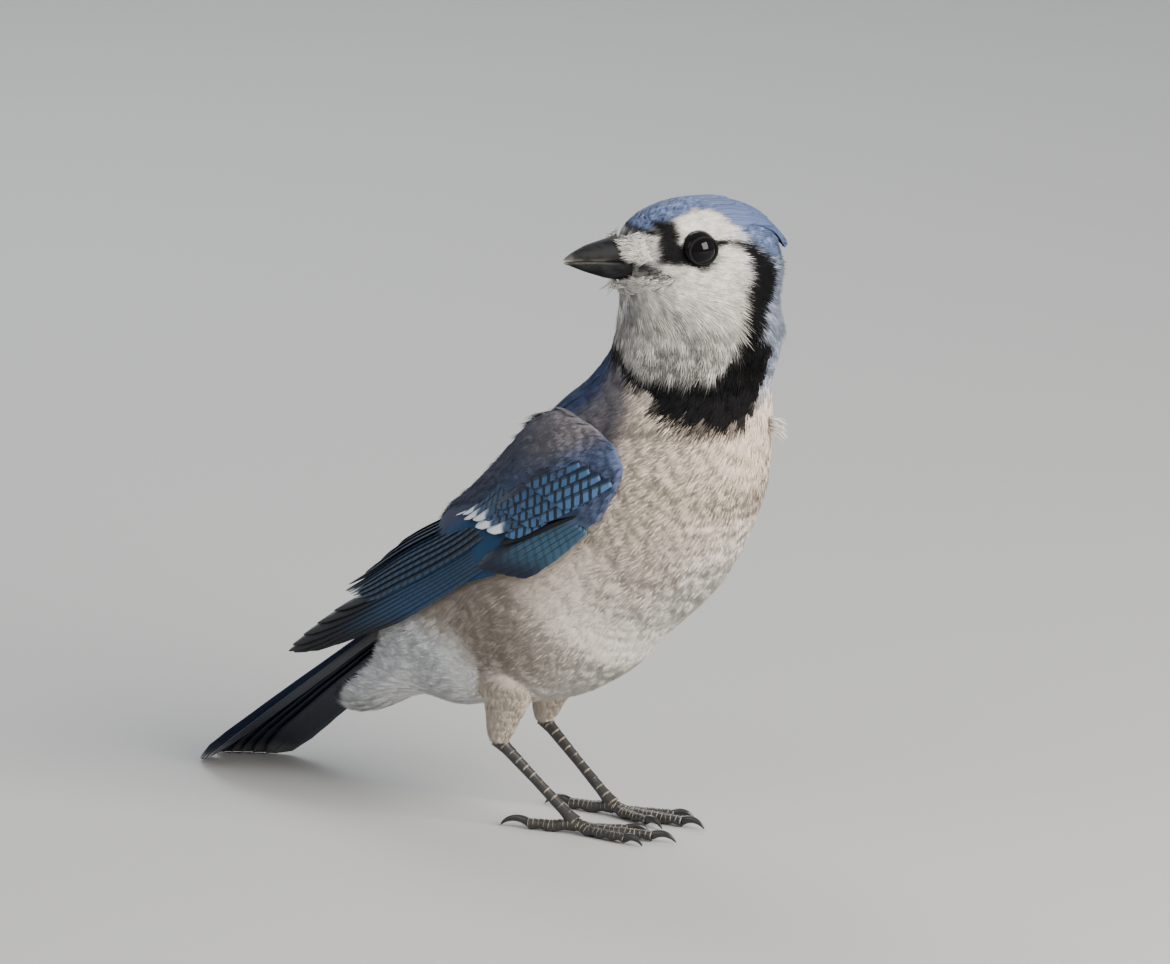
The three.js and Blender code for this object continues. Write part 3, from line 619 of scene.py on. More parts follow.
def thighRings(side, sink):
    top, heel, foot = (np.array(legPlan[k][side], float) for k in ("thighTop", "heel", "foot"))
    radiusAt = [(0, 9.5), (0.35, 9), (0.65, 6.6), (0.88, 4.8), (1, 3.7), (1.05, 2.6)]
    shares = np.linspace(0, 1.02, 26)[:, None]
    path = top + (heel - top) * np.minimum(shares, 1) + (foot - heel) * np.maximum(0, shares - 1) * 2
    return ringsRound(path, curveAt(radiusAt, shares) - sink, 28, tangent=np.broadcast_to(unit(heel - top), path.shape))


underMat = skinMaterial()


# The rings and the thigh sleeves, fused into one closed mesh
def skinObject():
    rows, sides = rings.shape[:2]
    sunk = skinPoints - slopeOf(skinPoints, bodyForms) * inward(skinPoints)[:, None]
    points, faces = tubeMesh(sunk.reshape(rows, sides, 3))
    for side in ("left", "right"):
        more, moreFaces = tubeMesh(thighRings(side, 1.0))
        faces += [tuple(i + len(points) for i in face) for face in moreFaces]
        points = np.concatenate([points, more])
    obj = meshObject("skin", points, faces, underMat)
    fuse = obj.modifiers.new("fuse", "REMESH")
    fuse.mode = "VOXEL"
    fuse.voxel_size = skinPlan["voxel"]
    fuse.use_smooth_shade = True
    even = obj.modifiers.new("even", "SMOOTH")
    even.factor = 0.5
    even.iterations = skinPlan["evenSteps"]
    fused = bpy.data.meshes.new_from_object(obj.evaluated_get(bpy.context.evaluated_depsgraph_get()))
    obj.modifiers.clear()
    obj.data = fused
    fused.name = "skin"
    fused.materials.clear()
    fused.materials.append(underMat)
    return obj


skin = skinObject()
mesh = skin.data
at = (readBack(mesh.vertices, "co", 3) - frameShift) * 1000
normal = readBack(mesh.vertices, "normal", 3).astype(float)
first, second = readBack(mesh.edges, "vertices", 2, np.int32).T
for _ in range(skinPlan["normalSteps"]):
    total = normal.copy()
    for axis in range(3):
        for near, far in ((first, second), (second, first)):
            total[:, axis] += np.bincount(near, normal[far, axis], len(normal))
    normal = unit(total)
lie, lengthAt = coatLie(at, normal), coatLength(at)
tint = markings(at + normal * 1.5 + lie * (0.55 * lengthAt)[:, None], normal)


def thighShare(points):
    near = np.full(len(points), 99.0)
    for side in ("left", "right"):
        a, b = np.array(legPlan["thighTop"][side]), np.array(legPlan["heel"][side])
        run = b - a
        s = np.clip((points - a) @ run / (run @ run), 0.35, 1.1)
        near = np.minimum(near, np.linalg.norm(points - a - s[:, None] * run, axis=1))
    return smooth(9.5, 8.0, near) * smooth(46, 40, points[:, 2])


thigh = thighShare(at)
legDown = np.array([-0.25, 0, -0.97])
legFlow = unit(legDown - (normal @ legDown)[:, None] * normal)
lie = lie * (1 - thigh[:, None]) + legFlow * thigh[:, None]
tint = over(tint, shade(204, 190, 175), thigh)
lengthAt = lengthAt * (1 - 0.55 * thigh)
tree = KDTree(len(skinPoints))
for i, p in enumerate(skinPoints):
    tree.insert(p, i)
tree.balance()
unwrapAt = np.array([skinUv[tree.find(p)[1]] for p in at])
setColour(mesh, "tint", tint)
setVector(mesh, "lie", lie)
setVector(mesh, "coatNormal", normal)
setFloat(mesh, "coatLength", lengthAt)
setVector(mesh, "rootUv", np.c_[unwrapAt, np.zeros(len(at))])
setUv(mesh, "OFBake", unwrapAt)
print("stage: skin", len(mesh.vertices))


# Tufts: a fan of tapering blades, and a small rounded feather
def blade(length, width, swing, bow, thick, side, segments=2):
    made = []
    for k in range(segments + 1):
        s = k / segments
        yaw = swing * s
        centre = np.array([length * s * math.cos(yaw), side + length * s * math.sin(yaw),
                           (bow * (s - 0.9 * s * s) - 0.05 * s * s) * length])
        across = np.array([-math.sin(yaw), math.cos(yaw), 0]) * width * (1 - 0.92 * s**1.6) / 2
        made.append([centre - across, centre + across, centre + np.array([0, 0, thick * (1 - 0.7 * s)])])
    return made


def tuftMesh(name, blades):
    points, faces, uv = [], [], []
    for spec in blades:
        made = blade(**spec)
        count = len(made) - 1
        faces += spikeFaces(count, len(points))
        own = [p for ring in made[:-1] for p in ring] + [made[-1][2]]
        points += own
        uv += [(0.5 + p[1] * 1.4, (i // 3) / count) for i, p in enumerate(own)]
    mesh = bpy.data.meshes.new(name)
    mesh.from_pydata(np.array(points).tolist(), [], outward(points, faces))
    mesh.shade_smooth()
    setUv(mesh, "tuftUv", np.clip(np.array(uv), 0, 1))
    return bpy.data.objects.new(name, mesh)


# A fan of blades as long as the unit, used with the coat's own length
def hairTuft(name, count, spread, width, bow, seed, segments=2):
    r = np.random.default_rng(seed)
    blades = []
    for i in range(count):
        off = (i - (count - 1) / 2) / max(1, (count - 1) / 2)
        blades.append({"length": 1 - 0.22 * abs(off) - 0.12 * r.random(), "width": width * (0.8 + 0.4 * r.random()),
                       "swing": off * spread + 0.12 * (r.random() - 0.5), "bow": bow * (0.6 + 0.8 * r.random()),
                       "thick": width * 0.13, "side": off * 0.07, "segments": segments})
    return tuftMesh(name, blades)


# A rounded vane of overlapping strips, closer together than the hair tuft's
def vaneTuft(name, count, width, seed):
    r = np.random.default_rng(seed)
    blades = []
    for i in range(count):
        off = (i - (count - 1) / 2) / ((count - 1) / 2)
        blades.append({"length": math.sqrt(max(0.1, 1 - 0.75 * off * off)) * (0.96 + 0.06 * r.random()),
                       "width": 0.20, "swing": off * 0.16, "bow": 0.10 + 0.05 * (1 - off * off), "thick": 0.03,
                       "side": off * width})
    return tuftMesh(name, blades)


tuftSets = {
    "hair": [hairTuft(f"hairTuft{i}", 7, 0.24, 0.046, 0.06, 10 + i) for i in range(4)],
    "face": [hairTuft(f"faceTuft{i}", 5, 0.2, 0.085, 0.0, 20 + i, segments=1) for i in range(4)],
    "vane": [vaneTuft(f"vaneTuft{i}", 6, 0.20, 30 + i) for i in range(3)],
}


# The node tree of a coat: points on the surface, each with one of the tufts laid along the coat's lie
def coatTree(name, tufts, mat):
    group = bpy.data.node_groups.new(name, "GeometryNodeTree")
    face = group.interface
    face.new_socket("Geometry", in_out="INPUT", socket_type="NodeSocketGeometry")
    face.new_socket("Seed", in_out="INPUT", socket_type="NodeSocketInt")
    for label in ("Spacing", "Density", "Length", "Width", "Lift", "Stray"):
        face.new_socket(label, in_out="INPUT", socket_type="NodeSocketFloat")
    face.new_socket("Geometry", in_out="OUTPUT", socket_type="NodeSocketGeometry")
    g = Tree(group)
    given = g.node("NodeGroupInput").outputs

    def named(label, kind):
        return g.node("GeometryNodeInputNamedAttribute", {"Name": label}, data_type=kind).outputs[0]

    spread = g.node("GeometryNodeDistributePointsOnFaces", {
        "Mesh": given["Geometry"], "Distance Min": given["Spacing"], "Density Max": given["Density"],
        "Density Factor": named("here", "FLOAT"), "Seed": given["Seed"]}, distribute_method="POISSON")
    upright = g.node("FunctionNodeAlignRotationToVector", {"Vector": named("coatNormal", "FLOAT_VECTOR")}, axis="Z")
    along = g.node("FunctionNodeAlignRotationToVector", {
        "Rotation": upright.outputs[0], "Vector": named("lie", "FLOAT_VECTOR")}, axis="X", pivot_axis="Z")
    spin = g.node("FunctionNodeRandomValue", {0: (-0.25, -1, -1), 1: (0.25, 0.4, 1)}, data_type="FLOAT_VECTOR")
    bend = g.vector("SCALE", {0: spin.outputs[0], "Scale": given["Stray"]})
    liftBy = g.node("ShaderNodeCombineXYZ", {"Y": g.math("MULTIPLY", given["Lift"], -1.0)})
    euler = g.node("FunctionNodeEulerToRotation", {0: g.vector("ADD", {0: bend, 1: liftBy.outputs[0]})})
    turned = g.node("FunctionNodeRotateRotation", {0: along.outputs[0], 1: euler.outputs[0]}, rotation_space="LOCAL")
    vary = g.node("FunctionNodeRandomValue", {2: 0.8, 3: 1.2}, data_type="FLOAT")
    long_ = g.math("MULTIPLY", g.math("MULTIPLY", named("coatLength", "FLOAT"), 0.001),
                   g.math("MULTIPLY", given["Length"], vary.outputs[1]))
    size = g.node("ShaderNodeCombineXYZ", {"X": long_, "Y": g.math("MULTIPLY", long_, given["Width"]), "Z": long_})
    gather = g.node("GeometryNodeJoinGeometry")
    for tuft in tufts:
        info = g.node("GeometryNodeObjectInfo", {"Object": tuft, "As Instance": True})
        g.link(info.outputs["Geometry"], gather.inputs[0])
    shift = g.node("FunctionNodeRandomValue", data_type="FLOAT")
    marked = g.node("GeometryNodeStoreNamedAttribute", {
        "Geometry": spread.outputs["Points"], "Name": "toneShift", "Value": shift.outputs[1]},
        data_type="FLOAT", domain="POINT")
    lay = g.node("GeometryNodeInstanceOnPoints", {
        "Points": marked.outputs[0], "Instance": gather.outputs[0], "Pick Instance": True,
        "Rotation": turned.outputs[0], "Scale": size.outputs[0]})
    real = g.node("GeometryNodeRealizeInstances", {"Geometry": lay.outputs[0]})
    paint = g.node("GeometryNodeSetMaterial", {"Geometry": real.outputs[0], "Material": mat})
    g.node("NodeGroupOutput", {0: paint.outputs[0]})
    return group


# The share of the bake map that a tuft takes, and the body that every piece rides
patchSize = 0.003
body = "root"


# One coat piece: tufts laid over the part of a surface where "here" is above zero
def coatPiece(name, surface, here, treeGroup, values):
    source = surface.data.copy()
    setFloat(source, "here", here)
    obj = bpy.data.objects.new(name, source)
    bpy.context.scene.collection.objects.link(obj)
    mod = obj.modifiers.new("coat", "NODES")
    mod.node_group = treeGroup
    for item in treeGroup.interface.items_tree:
        if item.item_type == "SOCKET" and item.in_out == "INPUT" and item.name in values:
            mod[item.identifier] = values[item.name]
    made = bpy.data.meshes.new_from_object(obj.evaluated_get(bpy.context.evaluated_depsgraph_get()))
    obj.modifiers.remove(mod)
    obj.data = made
    made.name = name
    corner = readBack(made.loops, "vertex_index", kind=np.int32)
    root = readBack(made.attributes["rootUv"].data, "vector", 3)[:, :2]
    local = readBack(made.uv_layers["tuftUv"].uv, "vector", 2)
    bake = root[corner] + (local - 0.5) * patchSize
    for stale in ("here", "lie", "coatLength", "rootUv", "OFBake"):
        if stale in made.attributes:
            made.attributes.remove(made.attributes[stale])
    layer = made.uv_layers.new(name="OFBake")
    layer.uv.foreach_set("vector", bake.astype(np.float32).ravel())
    made.shade_smooth()
    made.calc_loop_triangles()
    print("coat", name, "tufts", len(made.loop_triangles), "triangles")
    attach(obj, body)
    return obj


# base: how dark each tuft is painted at its root, as painted shade between the overlapping tufts
downMat = plumageMaterial("bodyPlumage", base=0.94, softness=0.86)
faceMat = plumageMaterial("facePlumage", base=0.7, softness=0.6, mottle=(0.52, 1.08))
crownMat = plumageMaterial("crownPlumage", base=0.42, roughness=0.6, softness=0.4, mottle=(0.7, 1.1))
mantleMat = plumageMaterial("mantlePlumage", base=0.7, roughness=0.6, softness=0.7, mottle=(0.84, 1.08))
bristleMat = plumageMaterial("bristles", base=0.8, softness=0.0)
trees = {
    "hair": coatTree("hairCoat", tuftSets["hair"], downMat),
    "face": coatTree("faceCoat", tuftSets["face"], faceMat),
    "crown": coatTree("crownCoat", tuftSets["vane"], crownMat),
    "mantle": coatTree("mantleCoat", tuftSets["hair"], mantleMat),
}
hx, hy, hz = toHead(at).T
hy = np.abs(hy)
onHead = smooth(-17, -15, hz) * (at[:, 2] > 140)
crownEdge = curveAt(marks["crownEdge"], hx)
isCrown = (hz > crownEdge - 0.4) & (onHead > 0.5)
eyeGap = np.hypot(hx - eyePlace["forward"], hz - eyePlace["up"]) < 4.1
billWide = curveAt([(12, 6.2), (20, 5.2), (28, 3.9)], hx)
billHigh = curveAt([(12, 3.4), (22, 3.6), (28, 2.7)], hx)
billGap = (hx > 18) & (hz < billHigh - 0.4) & (hz > -8.0) & (hy < billWide - 0.2)
gapeGap = (hx > 13.5) & (hz > curveAt(marks["gapeLow"], hx) + 0.2)
gapeGap &= hz < curveAt(marks["gapeTop"], hx) - 0.2
isFace = (onHead > 0.5) & ~isCrown & ~eyeGap & ~billGap & ~gapeGap
backness = normal @ np.array([-0.74, 0, 0.67])
isNeck = ~(onHead > 0.5) & (at[:, 2] > 120) & (backness < 0.35)
isBack = ~(onHead > 0.5) & (backness >= 0.15) & ~isNeck
rest = ~(onHead > 0.5) & ~isNeck & ~isBack
isThigh = thigh > 0.5

# Wings: rays out of a line from the wrist to the wing tip, set on the body and on a mound over the tail
wingPlan = {"bend": (9.5, 0, 101.6), "slope": 31, "tilt": 0.26,
            "radius": [(0, 27), (50, 27), (90, 19), (130, 11)],
            "armTop": [(-7, 0.2), (-3, 2.4), (8, 3.6), (40, 3), (60, 1.6), (78, 0.4)],
            "armLow": [(-7, 2), (-3, -2), (6, -6.5), (30, -7.5), (62, -5), (78, 2)],
            "armHigh": [(-7, 8), (-3, 15), (6, 24), (30, 33), (62, 31), (78, 22)]}
slope = math.radians(wingPlan["slope"])
wingAxis = np.array([-math.cos(slope), 0, -math.sin(slope)])
wingUp = np.array([-math.sin(slope), 0, math.cos(slope)])
wingBed = bodyForms + [wingMound]
fromBend = at - np.array(wingPlan["bend"])
wingS, wingAngle = fromBend @ wingAxis, np.degrees(np.arctan2(fromBend @ wingUp, np.abs(at[:, 1])))
underWing = (wingS > 9) & (wingS < 74) & (wingAngle > -6) & (wingAngle < 58)
isBack &= ~underWing
rest &= ~underWing
isBreast = rest & (at[:, 2] > 84) & ~isThigh
isBelly = rest & (at[:, 2] <= 84) & (at[:, 0] > -34) & ~isThigh
isVent = rest & (at[:, 2] <= 84) & (at[:, 0] <= -34) & ~isThigh
leftSide = at[:, 1] > 0
thin = 1.0
faceCoat = {"Spacing": 0.00036, "Density": 6e6, "Length": 1.35, "Width": 0.9, "Lift": 0.07, "Stray": 0.10}
bellyCoat = {"Spacing": 0.0008, "Density": 2e6, "Length": 0.85, "Width": 1.15, "Lift": 0.025, "Stray": 0.035}


def coatValues(spacing, length, lift, stray):
    return {"Spacing": spacing, "Density": 2e6, "Length": length, "Width": 1.0, "Lift": lift, "Stray": stray}


coatPlan = {
    "coatFaceLeft": (isFace & leftSide, "face", faceCoat),
    "coatFaceRight": (isFace & ~leftSide, "face", faceCoat),
    "coatCrown": (isCrown, "crown", coatValues(0.00062, 0.85, 0.10, 0.08)),
    "coatNeck": (isNeck, "hair", coatValues(0.00066, 0.95, 0.03, 0.09)),
    "coatBreast": (isBreast, "hair", dict(bellyCoat, Spacing=0.00078, Length=0.8)),
    "coatBellyLeft": (isBelly & leftSide, "hair", bellyCoat),
    "coatBellyRight": (isBelly & ~leftSide, "hair", bellyCoat),
    "coatVent": (isVent, "hair", coatValues(0.0008, 0.8, 0.03, 0.06)),
    "coatBack": (isBack, "hair", coatValues(0.00132, 0.85, 0.06, 0.08)),
    "coatThigh": (isThigh, "hair", coatValues(0.0007, 0.9, 0.07, 0.14)),
}
skinNodes = ("torso", "neck", "head", "thigh_left", "thigh_right")
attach(skin, body)
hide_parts(*skinNodes)
for seed, (name, (where, kind, values)) in enumerate(coatPlan.items()):
    values = dict(values, Seed=seed + 3)
    values["Spacing"] /= math.sqrt(thin)
    piece = coatPiece(name, skin, where.astype(np.float32), trees[kind], values)
print("stage: coat")


def wingMap(side):
    sign = 1 if side == "left" else -1

    def on(s, t_, h_):
        s, t_, h_ = np.broadcast_arrays(*(np.asarray(v, float) for v in (s, t_, h_)))
        angle = t_ / curveAt(wingPlan["radius"], s)
        centre = np.array(wingPlan["bend"]) + s[..., None] * wingAxis
        d = np.cos(angle)[..., None] * np.array([0, sign, 0.0]) + np.sin(angle)[..., None] * wingUp
        return centre + d * (reach(centre, d, wingBed) + h_)[..., None]

    return on


featherAcross = 9


# One flight feather or covert: a cambered closed plate with a raised shaft and a slightly ragged edge
def featherPlate(on, root, tip, width, lift, tilt, shape, camber=0.3, thick=0.4, rows=22, seed=0):
    r = np.random.default_rng(seed)
    root, tip = np.array(root, float), np.array(tip, float)
    run = tip - root
    length = np.hypot(*run)
    run /= length
    v = np.linspace(0, 1, rows)
    wide = np.interp(v, *zip(*shape))
    u = np.linspace(-1, 1, featherAcross)
    ragged = 1 + 0.05 * (r.random((rows, 2)) - 0.5) * (v[:, None] > 0.3)
    off = u[None] * width * wide[:, None] / 2
    off = np.where(u[None] < 0, off * ragged[:, :1], off * ragged[:, 1:])
    along = v[:, None] * length - 0.16 * width * u[None] ** 2 * smooth(0.75, 1, v)[:, None]
    s = root[0] + run[0] * along - run[1] * off
    t_ = root[1] + run[1] * along + run[0] * off
    shaft = 0.22 * np.exp(-(u[None] * 7) ** 2) * (1 - 0.7 * v[:, None])
    h_ = lift[0] + (lift[1] - lift[0]) * v[:, None] - tilt * off + camber * (1 - u[None] ** 2) * wide[:, None]
    half = thick / 2 * (1 - 0.75 * np.abs(u[None])) * (1 - 0.5 * v[:, None]) + 0.04
    top = on(s, t_, h_ + half + shaft)
    low = on(s, t_, h_ - half)
    return top, low, u, v, length


def featherBatch(name, plates, mat):
    points, faces, tintAll, uvAll, alongAll, barAll, bakeAll = [], [], [], [], [], [], []
    count = len(plates)
    cells = math.ceil(math.sqrt(count))
    for index, (top, low, u, v, length, info) in enumerate(plates):
        rows, cols = top.shape[:2]
        start = sum(len(p) for p in points)
        both = np.concatenate([top.reshape(-1, 3), low.reshape(-1, 3)])
        n = rows * cols
        own = gridFaces(rows, cols) + [tuple(reversed([i + n for i in f])) for f in gridFaces(rows, cols)]
        rim = list(range(cols)) + [cols * i + cols - 1 for i in range(1, rows)]
        rim += [cols * (rows - 1) + k for k in range(cols - 2, -1, -1)] + [cols * i for i in range(rows - 2, 0, -1)]
        for a, b in zip(rim, rim[1:] + rim[:1]):
            own.append((b, a, a + n, b + n))
        points.append(both)
        faces += [tuple(i + start for i in f) for f in outward(both, own)]
        uu, vv = np.meshgrid(u, v)
        uu, vv = np.tile(uu.ravel(), 2), np.tile(vv.ravel(), 2)
        tintAll.append(info["paint"](uu, vv, np.r_[np.zeros(n), np.ones(n)]))
        uvAll.append(np.stack([uu * 0.5 + 0.5, vv], -1))
        alongAll.append(vv * length + info.get("shift", 1.0) * rng.random() * 2.6)
        barAll.append(info["bars"](uu, vv) * np.r_[np.ones(n), np.zeros(n)])
        cell = np.array([index % cells, index // cells]) / cells
        halfway = np.r_[np.zeros(n), np.full(n, 0.5)]
        bakeAll.append(cell + np.stack([uu * 0.21 + 0.24 + halfway, 0.04 + vv * 0.9], -1) / cells)
    obj = meshObject(name, np.concatenate(points), faces, mat)
    setColour(obj.data, "tint", np.clip(np.concatenate(tintAll), 0, 1))
    setFloat(obj.data, "along", np.concatenate(alongAll))
    setFloat(obj.data, "bars", np.concatenate(barAll))
    setUv(obj.data, "vane", np.concatenate(uvAll))
    setUv(obj.data, "OFBake", np.concatenate(bakeAll))
    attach(obj, body)
    return obj


# Flight plumage: the tint, fine strands slanting from the shaft, and black bars where the feather has them
def featherMaterial(name, roughness=0.42):
    mat, t, shader = material(name, {"Roughness": roughness, "Specular IOR Level": 0.35})
    along, across = t.attribute("along"), t.uv("vane")[0]
    fold = t.math("ABSOLUTE", t.math("SUBTRACT", across, 0.5))
    lines = t.node("ShaderNodeGroup", {
        "Across": across, "Along": along, "Count": 16.0, "Slant": 6.0, "Height": 0.35}, node_tree=strandGroup()).outputs
    phase = t.math("ADD", t.math("MULTIPLY", t.math("SUBTRACT", along, t.math("MULTIPLY", fold, 2.0)), 2.25),
                   t.math("MULTIPLY", t.noise(260.0, 3.0), 2.2))
    barMask = t.math("MULTIPLY", t.span(t.math("SINE", phase), 0.15, 0.6), t.attribute("bars"), clamp=True)
    barred = t.mix(barMask, t.attribute("tint", "Color"), (0.006, 0.008, 0.014))
    lined = t.mix(t.math("MULTIPLY", t.span(fold, 0.035, 0.015), 0.75), barred, (0.008, 0.009, 0.013))
    t.link(t.shaded(lined, t.span(lines["Mask"], 0.0, 1.0, (0.78, 1.1))), shader["Base Color"])
    t.link(lines["Normal"], shader["Normal"])
    return mat


featherMat = featherMaterial("flightPlumage")
hues = {"blue": shade(64, 100, 140), "edge": shade(36, 66, 96), "deep": shade(17, 27, 46), "dark": shade(12, 13, 18),
        "white": shade(226, 230, 234), "teal": shade(52, 84, 106), "violet": shade(80, 92, 122),
        "tailBlue": shade(32, 58, 100), "shadedUnderside": shade(26, 27, 32), "greyBlue": shade(30, 48, 76),
        "scapular": shade(72, 77, 94), "ridge": shade(40, 50, 74)}


def painter(outer, inner, tipColour=None, tipFrom=0.9, fadeTo=None, edgeLine=None, part=(-0.15, 0.2)):
    def paint(u, v, below):
        colour = over(np.broadcast_to(outer, (len(u), 3)).copy(), inner, smooth(*part, u))
        if fadeTo is not None:
            colour = over(colour, fadeTo, smooth(0.45, 0.85, v))
        if edgeLine is not None:
            colour = over(colour, edgeLine, smooth(-0.72, -0.92, u) * smooth(0.97, 0.85, v))
        if tipColour is not None:
            colour = over(colour, tipColour, smooth(tipFrom, tipFrom + 0.04, v - 0.03 * np.abs(u)))
        # The lower side of each plate: the feathers' duller underside, made darker still as painted shade
        return over(colour, hues["shadedUnderside"], below * 0.85)
    return paint


def barring(amount, start=0.1, stop=0.92):
    return lambda u, v: amount * smooth(start, start + 0.1, v) * smooth(stop, stop - 0.04, v) * smooth(0.75, 0.3, u)


flightShape = [(0, 0.45), (0.3, 0.85), (0.6, 1.0), (0.85, 0.9), (0.95, 0.62), (1, 0.22)]
roundShape = [(0, 0.5), (0.4, 0.95), (0.75, 1.0), (0.92, 0.8), (1, 0.35)]
handTips = [106, 113, 119, 124, 126, 124, 120, 113, 103]
flightPart = (-0.8, -0.5)


# Rows of the wing, lowest layer first: places along and across the wing, in millimetres
wingRows = [
    dict(count=9, root=lambda i: (34 + i, 5.5 - i), tip=lambda i: (handTips[i], 8 - 1.35 * i), width=7.0,
         lift=lambda i: (0.5, 2.4 - 0.26 * i), shape=flightShape, bars=barring(0.3, 0.1, 0.5),
         paint=painter(hues["edge"], hues["dark"], fadeTo=hues["dark"], part=flightPart)),
    dict(count=7, root=lambda i: (36, 22 - 2.7 * i), tip=lambda i: (104 - 1.3 * i, 19 - 2.1 * i), width=7.6,
         lift=lambda i: (1.1, 2.8 - 0.08 * i), shape=flightShape, bars=barring(0.8, 0.1, 0.93),
         paint=painter(hues["edge"], hues["dark"], tipColour=hues["white"], tipFrom=0.965, part=flightPart)),
    dict(count=4, root=lambda i: (40, 32 - 2.8 * i), tip=lambda i: (84 + 6 * i, 28 - 2.8 * i), width=8.5,
         lift=lambda i: (1.6, 3.8), shape=roundShape, bars=barring(0.9, 0.1, 0.92),
         paint=painter(hues["greyBlue"], hues["dark"], tipColour=hues["white"], tipFrom=0.95, part=(-0.5, -0.1))),
    dict(count=9, root=lambda i: (14 + 2.9 * i, 3.2 + 3.1 * i), width=5.4,
         tip=lambda i: (40 + 2.9 * i + 1.6 * (i % 2), 4.6 + 3.1 * i),
         lift=lambda i: (2.0, 4.4), shape=roundShape, bars=barring(0.95, 0.2, 0.73),
         paint=painter(hues["blue"] * 0.55, hues["deep"], tipColour=hues["white"], tipFrom=0.74)),
    dict(count=5, root=lambda i: (13 - 0.8 * i, -2.6 - 1.0 * i), tip=lambda i: (47 - 2.8 * i, -2.8 - 1.35 * i),
         width=4.2, lift=lambda i: (1.2, 3.0 - 0.1 * i), shape=roundShape, bars=barring(0.35),
         paint=painter(hues["teal"], hues["deep"], fadeTo=hues["deep"], part=(0, 0.4))),
    # One narrow black feather over the dark line between the barred coverts and the teal patch: a painted shadow line
    # in the alula's place
    dict(count=1, root=lambda i: (10, -2.8), tip=lambda i: (37, -0.2), width=2.2,
         lift=lambda i: (1.6, 3.2), shape=roundShape, paint=painter(hues["dark"], hues["dark"]), bars=barring(0)),
]


# One small blue feather of the shoulder, given the ends of its row
def shoulderFeather(start, stop, j, i):
    tipAt = (stop + 2.5 * i + 0.7 * ((i * 3 + j) % 3), 1.0 + 2.5 * i + 0.6 * (j % 2))
    return dict(count=1, root=lambda k: (start + 2.3 * i, 0.2 + 2.5 * i), tip=lambda k: tipAt, width=4.3,
                lift=lambda k: (2.2, 4.2 + 0.2 * j), shape=roundShape, bars=barring(0.95, 0.1, 0.97),
                paint=painter(hues["blue"] * (1 - 0.10 * i), hues["deep"]))


for j, ends in enumerate(((14, 34), (7, 26.5), (1, 20), (-4, 13.5))):
    wingRows += [shoulderFeather(*ends, j, i) for i in range(4)]


def makeWing(side):
    on = wingMap(side)
    plates = []
    for r, row in enumerate(wingRows):
        for i in range(row["count"]):
            plate = featherPlate(on, row["root"](i), row["tip"](i), row["width"], row["lift"](i),
                                 wingPlan["tilt"], row["shape"], seed=r * 20 + i)
            plates.append((*plate, row))
    obj = featherBatch(f"feathers_wing_{side}", plates, featherMat)
    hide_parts(f"wing_{side}")
    return on


def makeArm(side, on):
    rows, across = 80, 44
    s = np.linspace(-7, 70, rows)
    lowEdge, highEdge, top = (curveAt(wingPlan[k], s) for k in ("armLow", "armHigh", "armTop"))
    highEdge = highEdge + 3 * smooth(10, 30, s)
    share = np.linspace(0, 1, across)
    round_ = np.sin(np.pi * (0.06 + 0.88 * share)) ** 0.5
    t_ = lowEdge[:, None] + (highEdge - lowEdge)[:, None] * share[None]
    cape = 5.0 * (smooth(26, 50, s) * smooth(76, 56, s))[:, None] * smooth(8, 26, t_)
    rise = 0.2 + 0.8 * smooth(-8, 9, s)[:, None]
    upper = on(s[:, None], t_, top[:, None] * round_[None] * rise - 0.5 + cape)
    lower = on(s[:, None], t_, np.full(t_.shape, -3.0))
    points, faces = tubeMesh(np.concatenate([upper, lower[:, ::-1]], 1))
    obj = meshObject(f"arm_{side}", points, faces, underMat)
    m = obj.data
    n = len(points)
    nrm = readBack(m.vertices, "normal", 3).astype(float)
    sAt = np.r_[np.repeat(s, across * 2), s[0], s[-1]]
    tAt = np.r_[np.concatenate([t_, t_[:, ::-1]], 1).ravel(), 0, 0]
    colour = np.broadcast_to(hues["violet"], (n, 3)).copy()
    rough = wobble(points, 0.5)
    colour = over(colour, hues["scapular"], smooth(12, 18, tAt + 2 * rough))
    colour = over(colour, hues["ridge"], smooth(22, 30, tAt + 1.5 * rough) * smooth(0, 20, sAt))
    colour = over(colour, tones["mantle"] * 1.1, smooth(24, 4, sAt + 2 * rough) * smooth(8, 15, tAt))
    colour = over(colour, hues["blue"] * 0.5, smooth(24, 40, sAt) * smooth(20, 12, tAt))
    flow = unit(wingAxis - (nrm @ wingAxis)[:, None] * nrm)
    uvArm = np.c_[(sAt + 7) / 80, np.r_[np.tile(np.linspace(0, 1, across * 2), rows), 0.5, 0.5], np.zeros(n)]
    setColour(m, "tint", colour)
    setVector(m, "lie", flow)
    setVector(m, "coatNormal", nrm)
    setFloat(m, "coatLength", np.full(n, 5.5) - 1.5 * smooth(10, -5, sAt))
    setVector(m, "rootUv", uvArm)
    setUv(m, "OFBake", uvArm[:, :2])
    here = np.r_[np.tile(np.r_[np.ones(across), np.zeros(across)], rows), 0, 0]
    here *= ((tAt > 7 - 0.1 * sAt) & (sAt < 12 + 1.7 * tAt)) | (sAt < 9 + 0.6 * tAt)
    piece = coatPiece(f"coatArm_{side}", obj, here, trees["mantle"], dict(coatValues(0.00075, 1.0, 0.09, 0.07), Seed=40))
    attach(obj, body)


for side in ("left", "right"):
    makeArm(side, makeWing(side))
print("stage: wings")

# Tail: six pairs in a shallow roof, the middle pair on top
tailPlan = {"root": (-34, 0, 76.5), "length": 128, "slope": 37, "swing": 6, "roll": -14}
tailAxes = turnZ(-tailPlan["swing"]) @ turnY(-tailPlan["slope"]) @ turnX(tailPlan["roll"])


def onTail(s, t_, h_):
    s, t_, h_ = np.broadcast_arrays(*(np.asarray(v, float) for v in (s, t_, h_)))
    p = np.stack([-s, t_, h_ - 0.014 * t_ * t_], -1) @ tailAxes.T + np.array(tailPlan["root"])
    p[..., 2] = np.maximum(p[..., 2], 0.12)
    return p


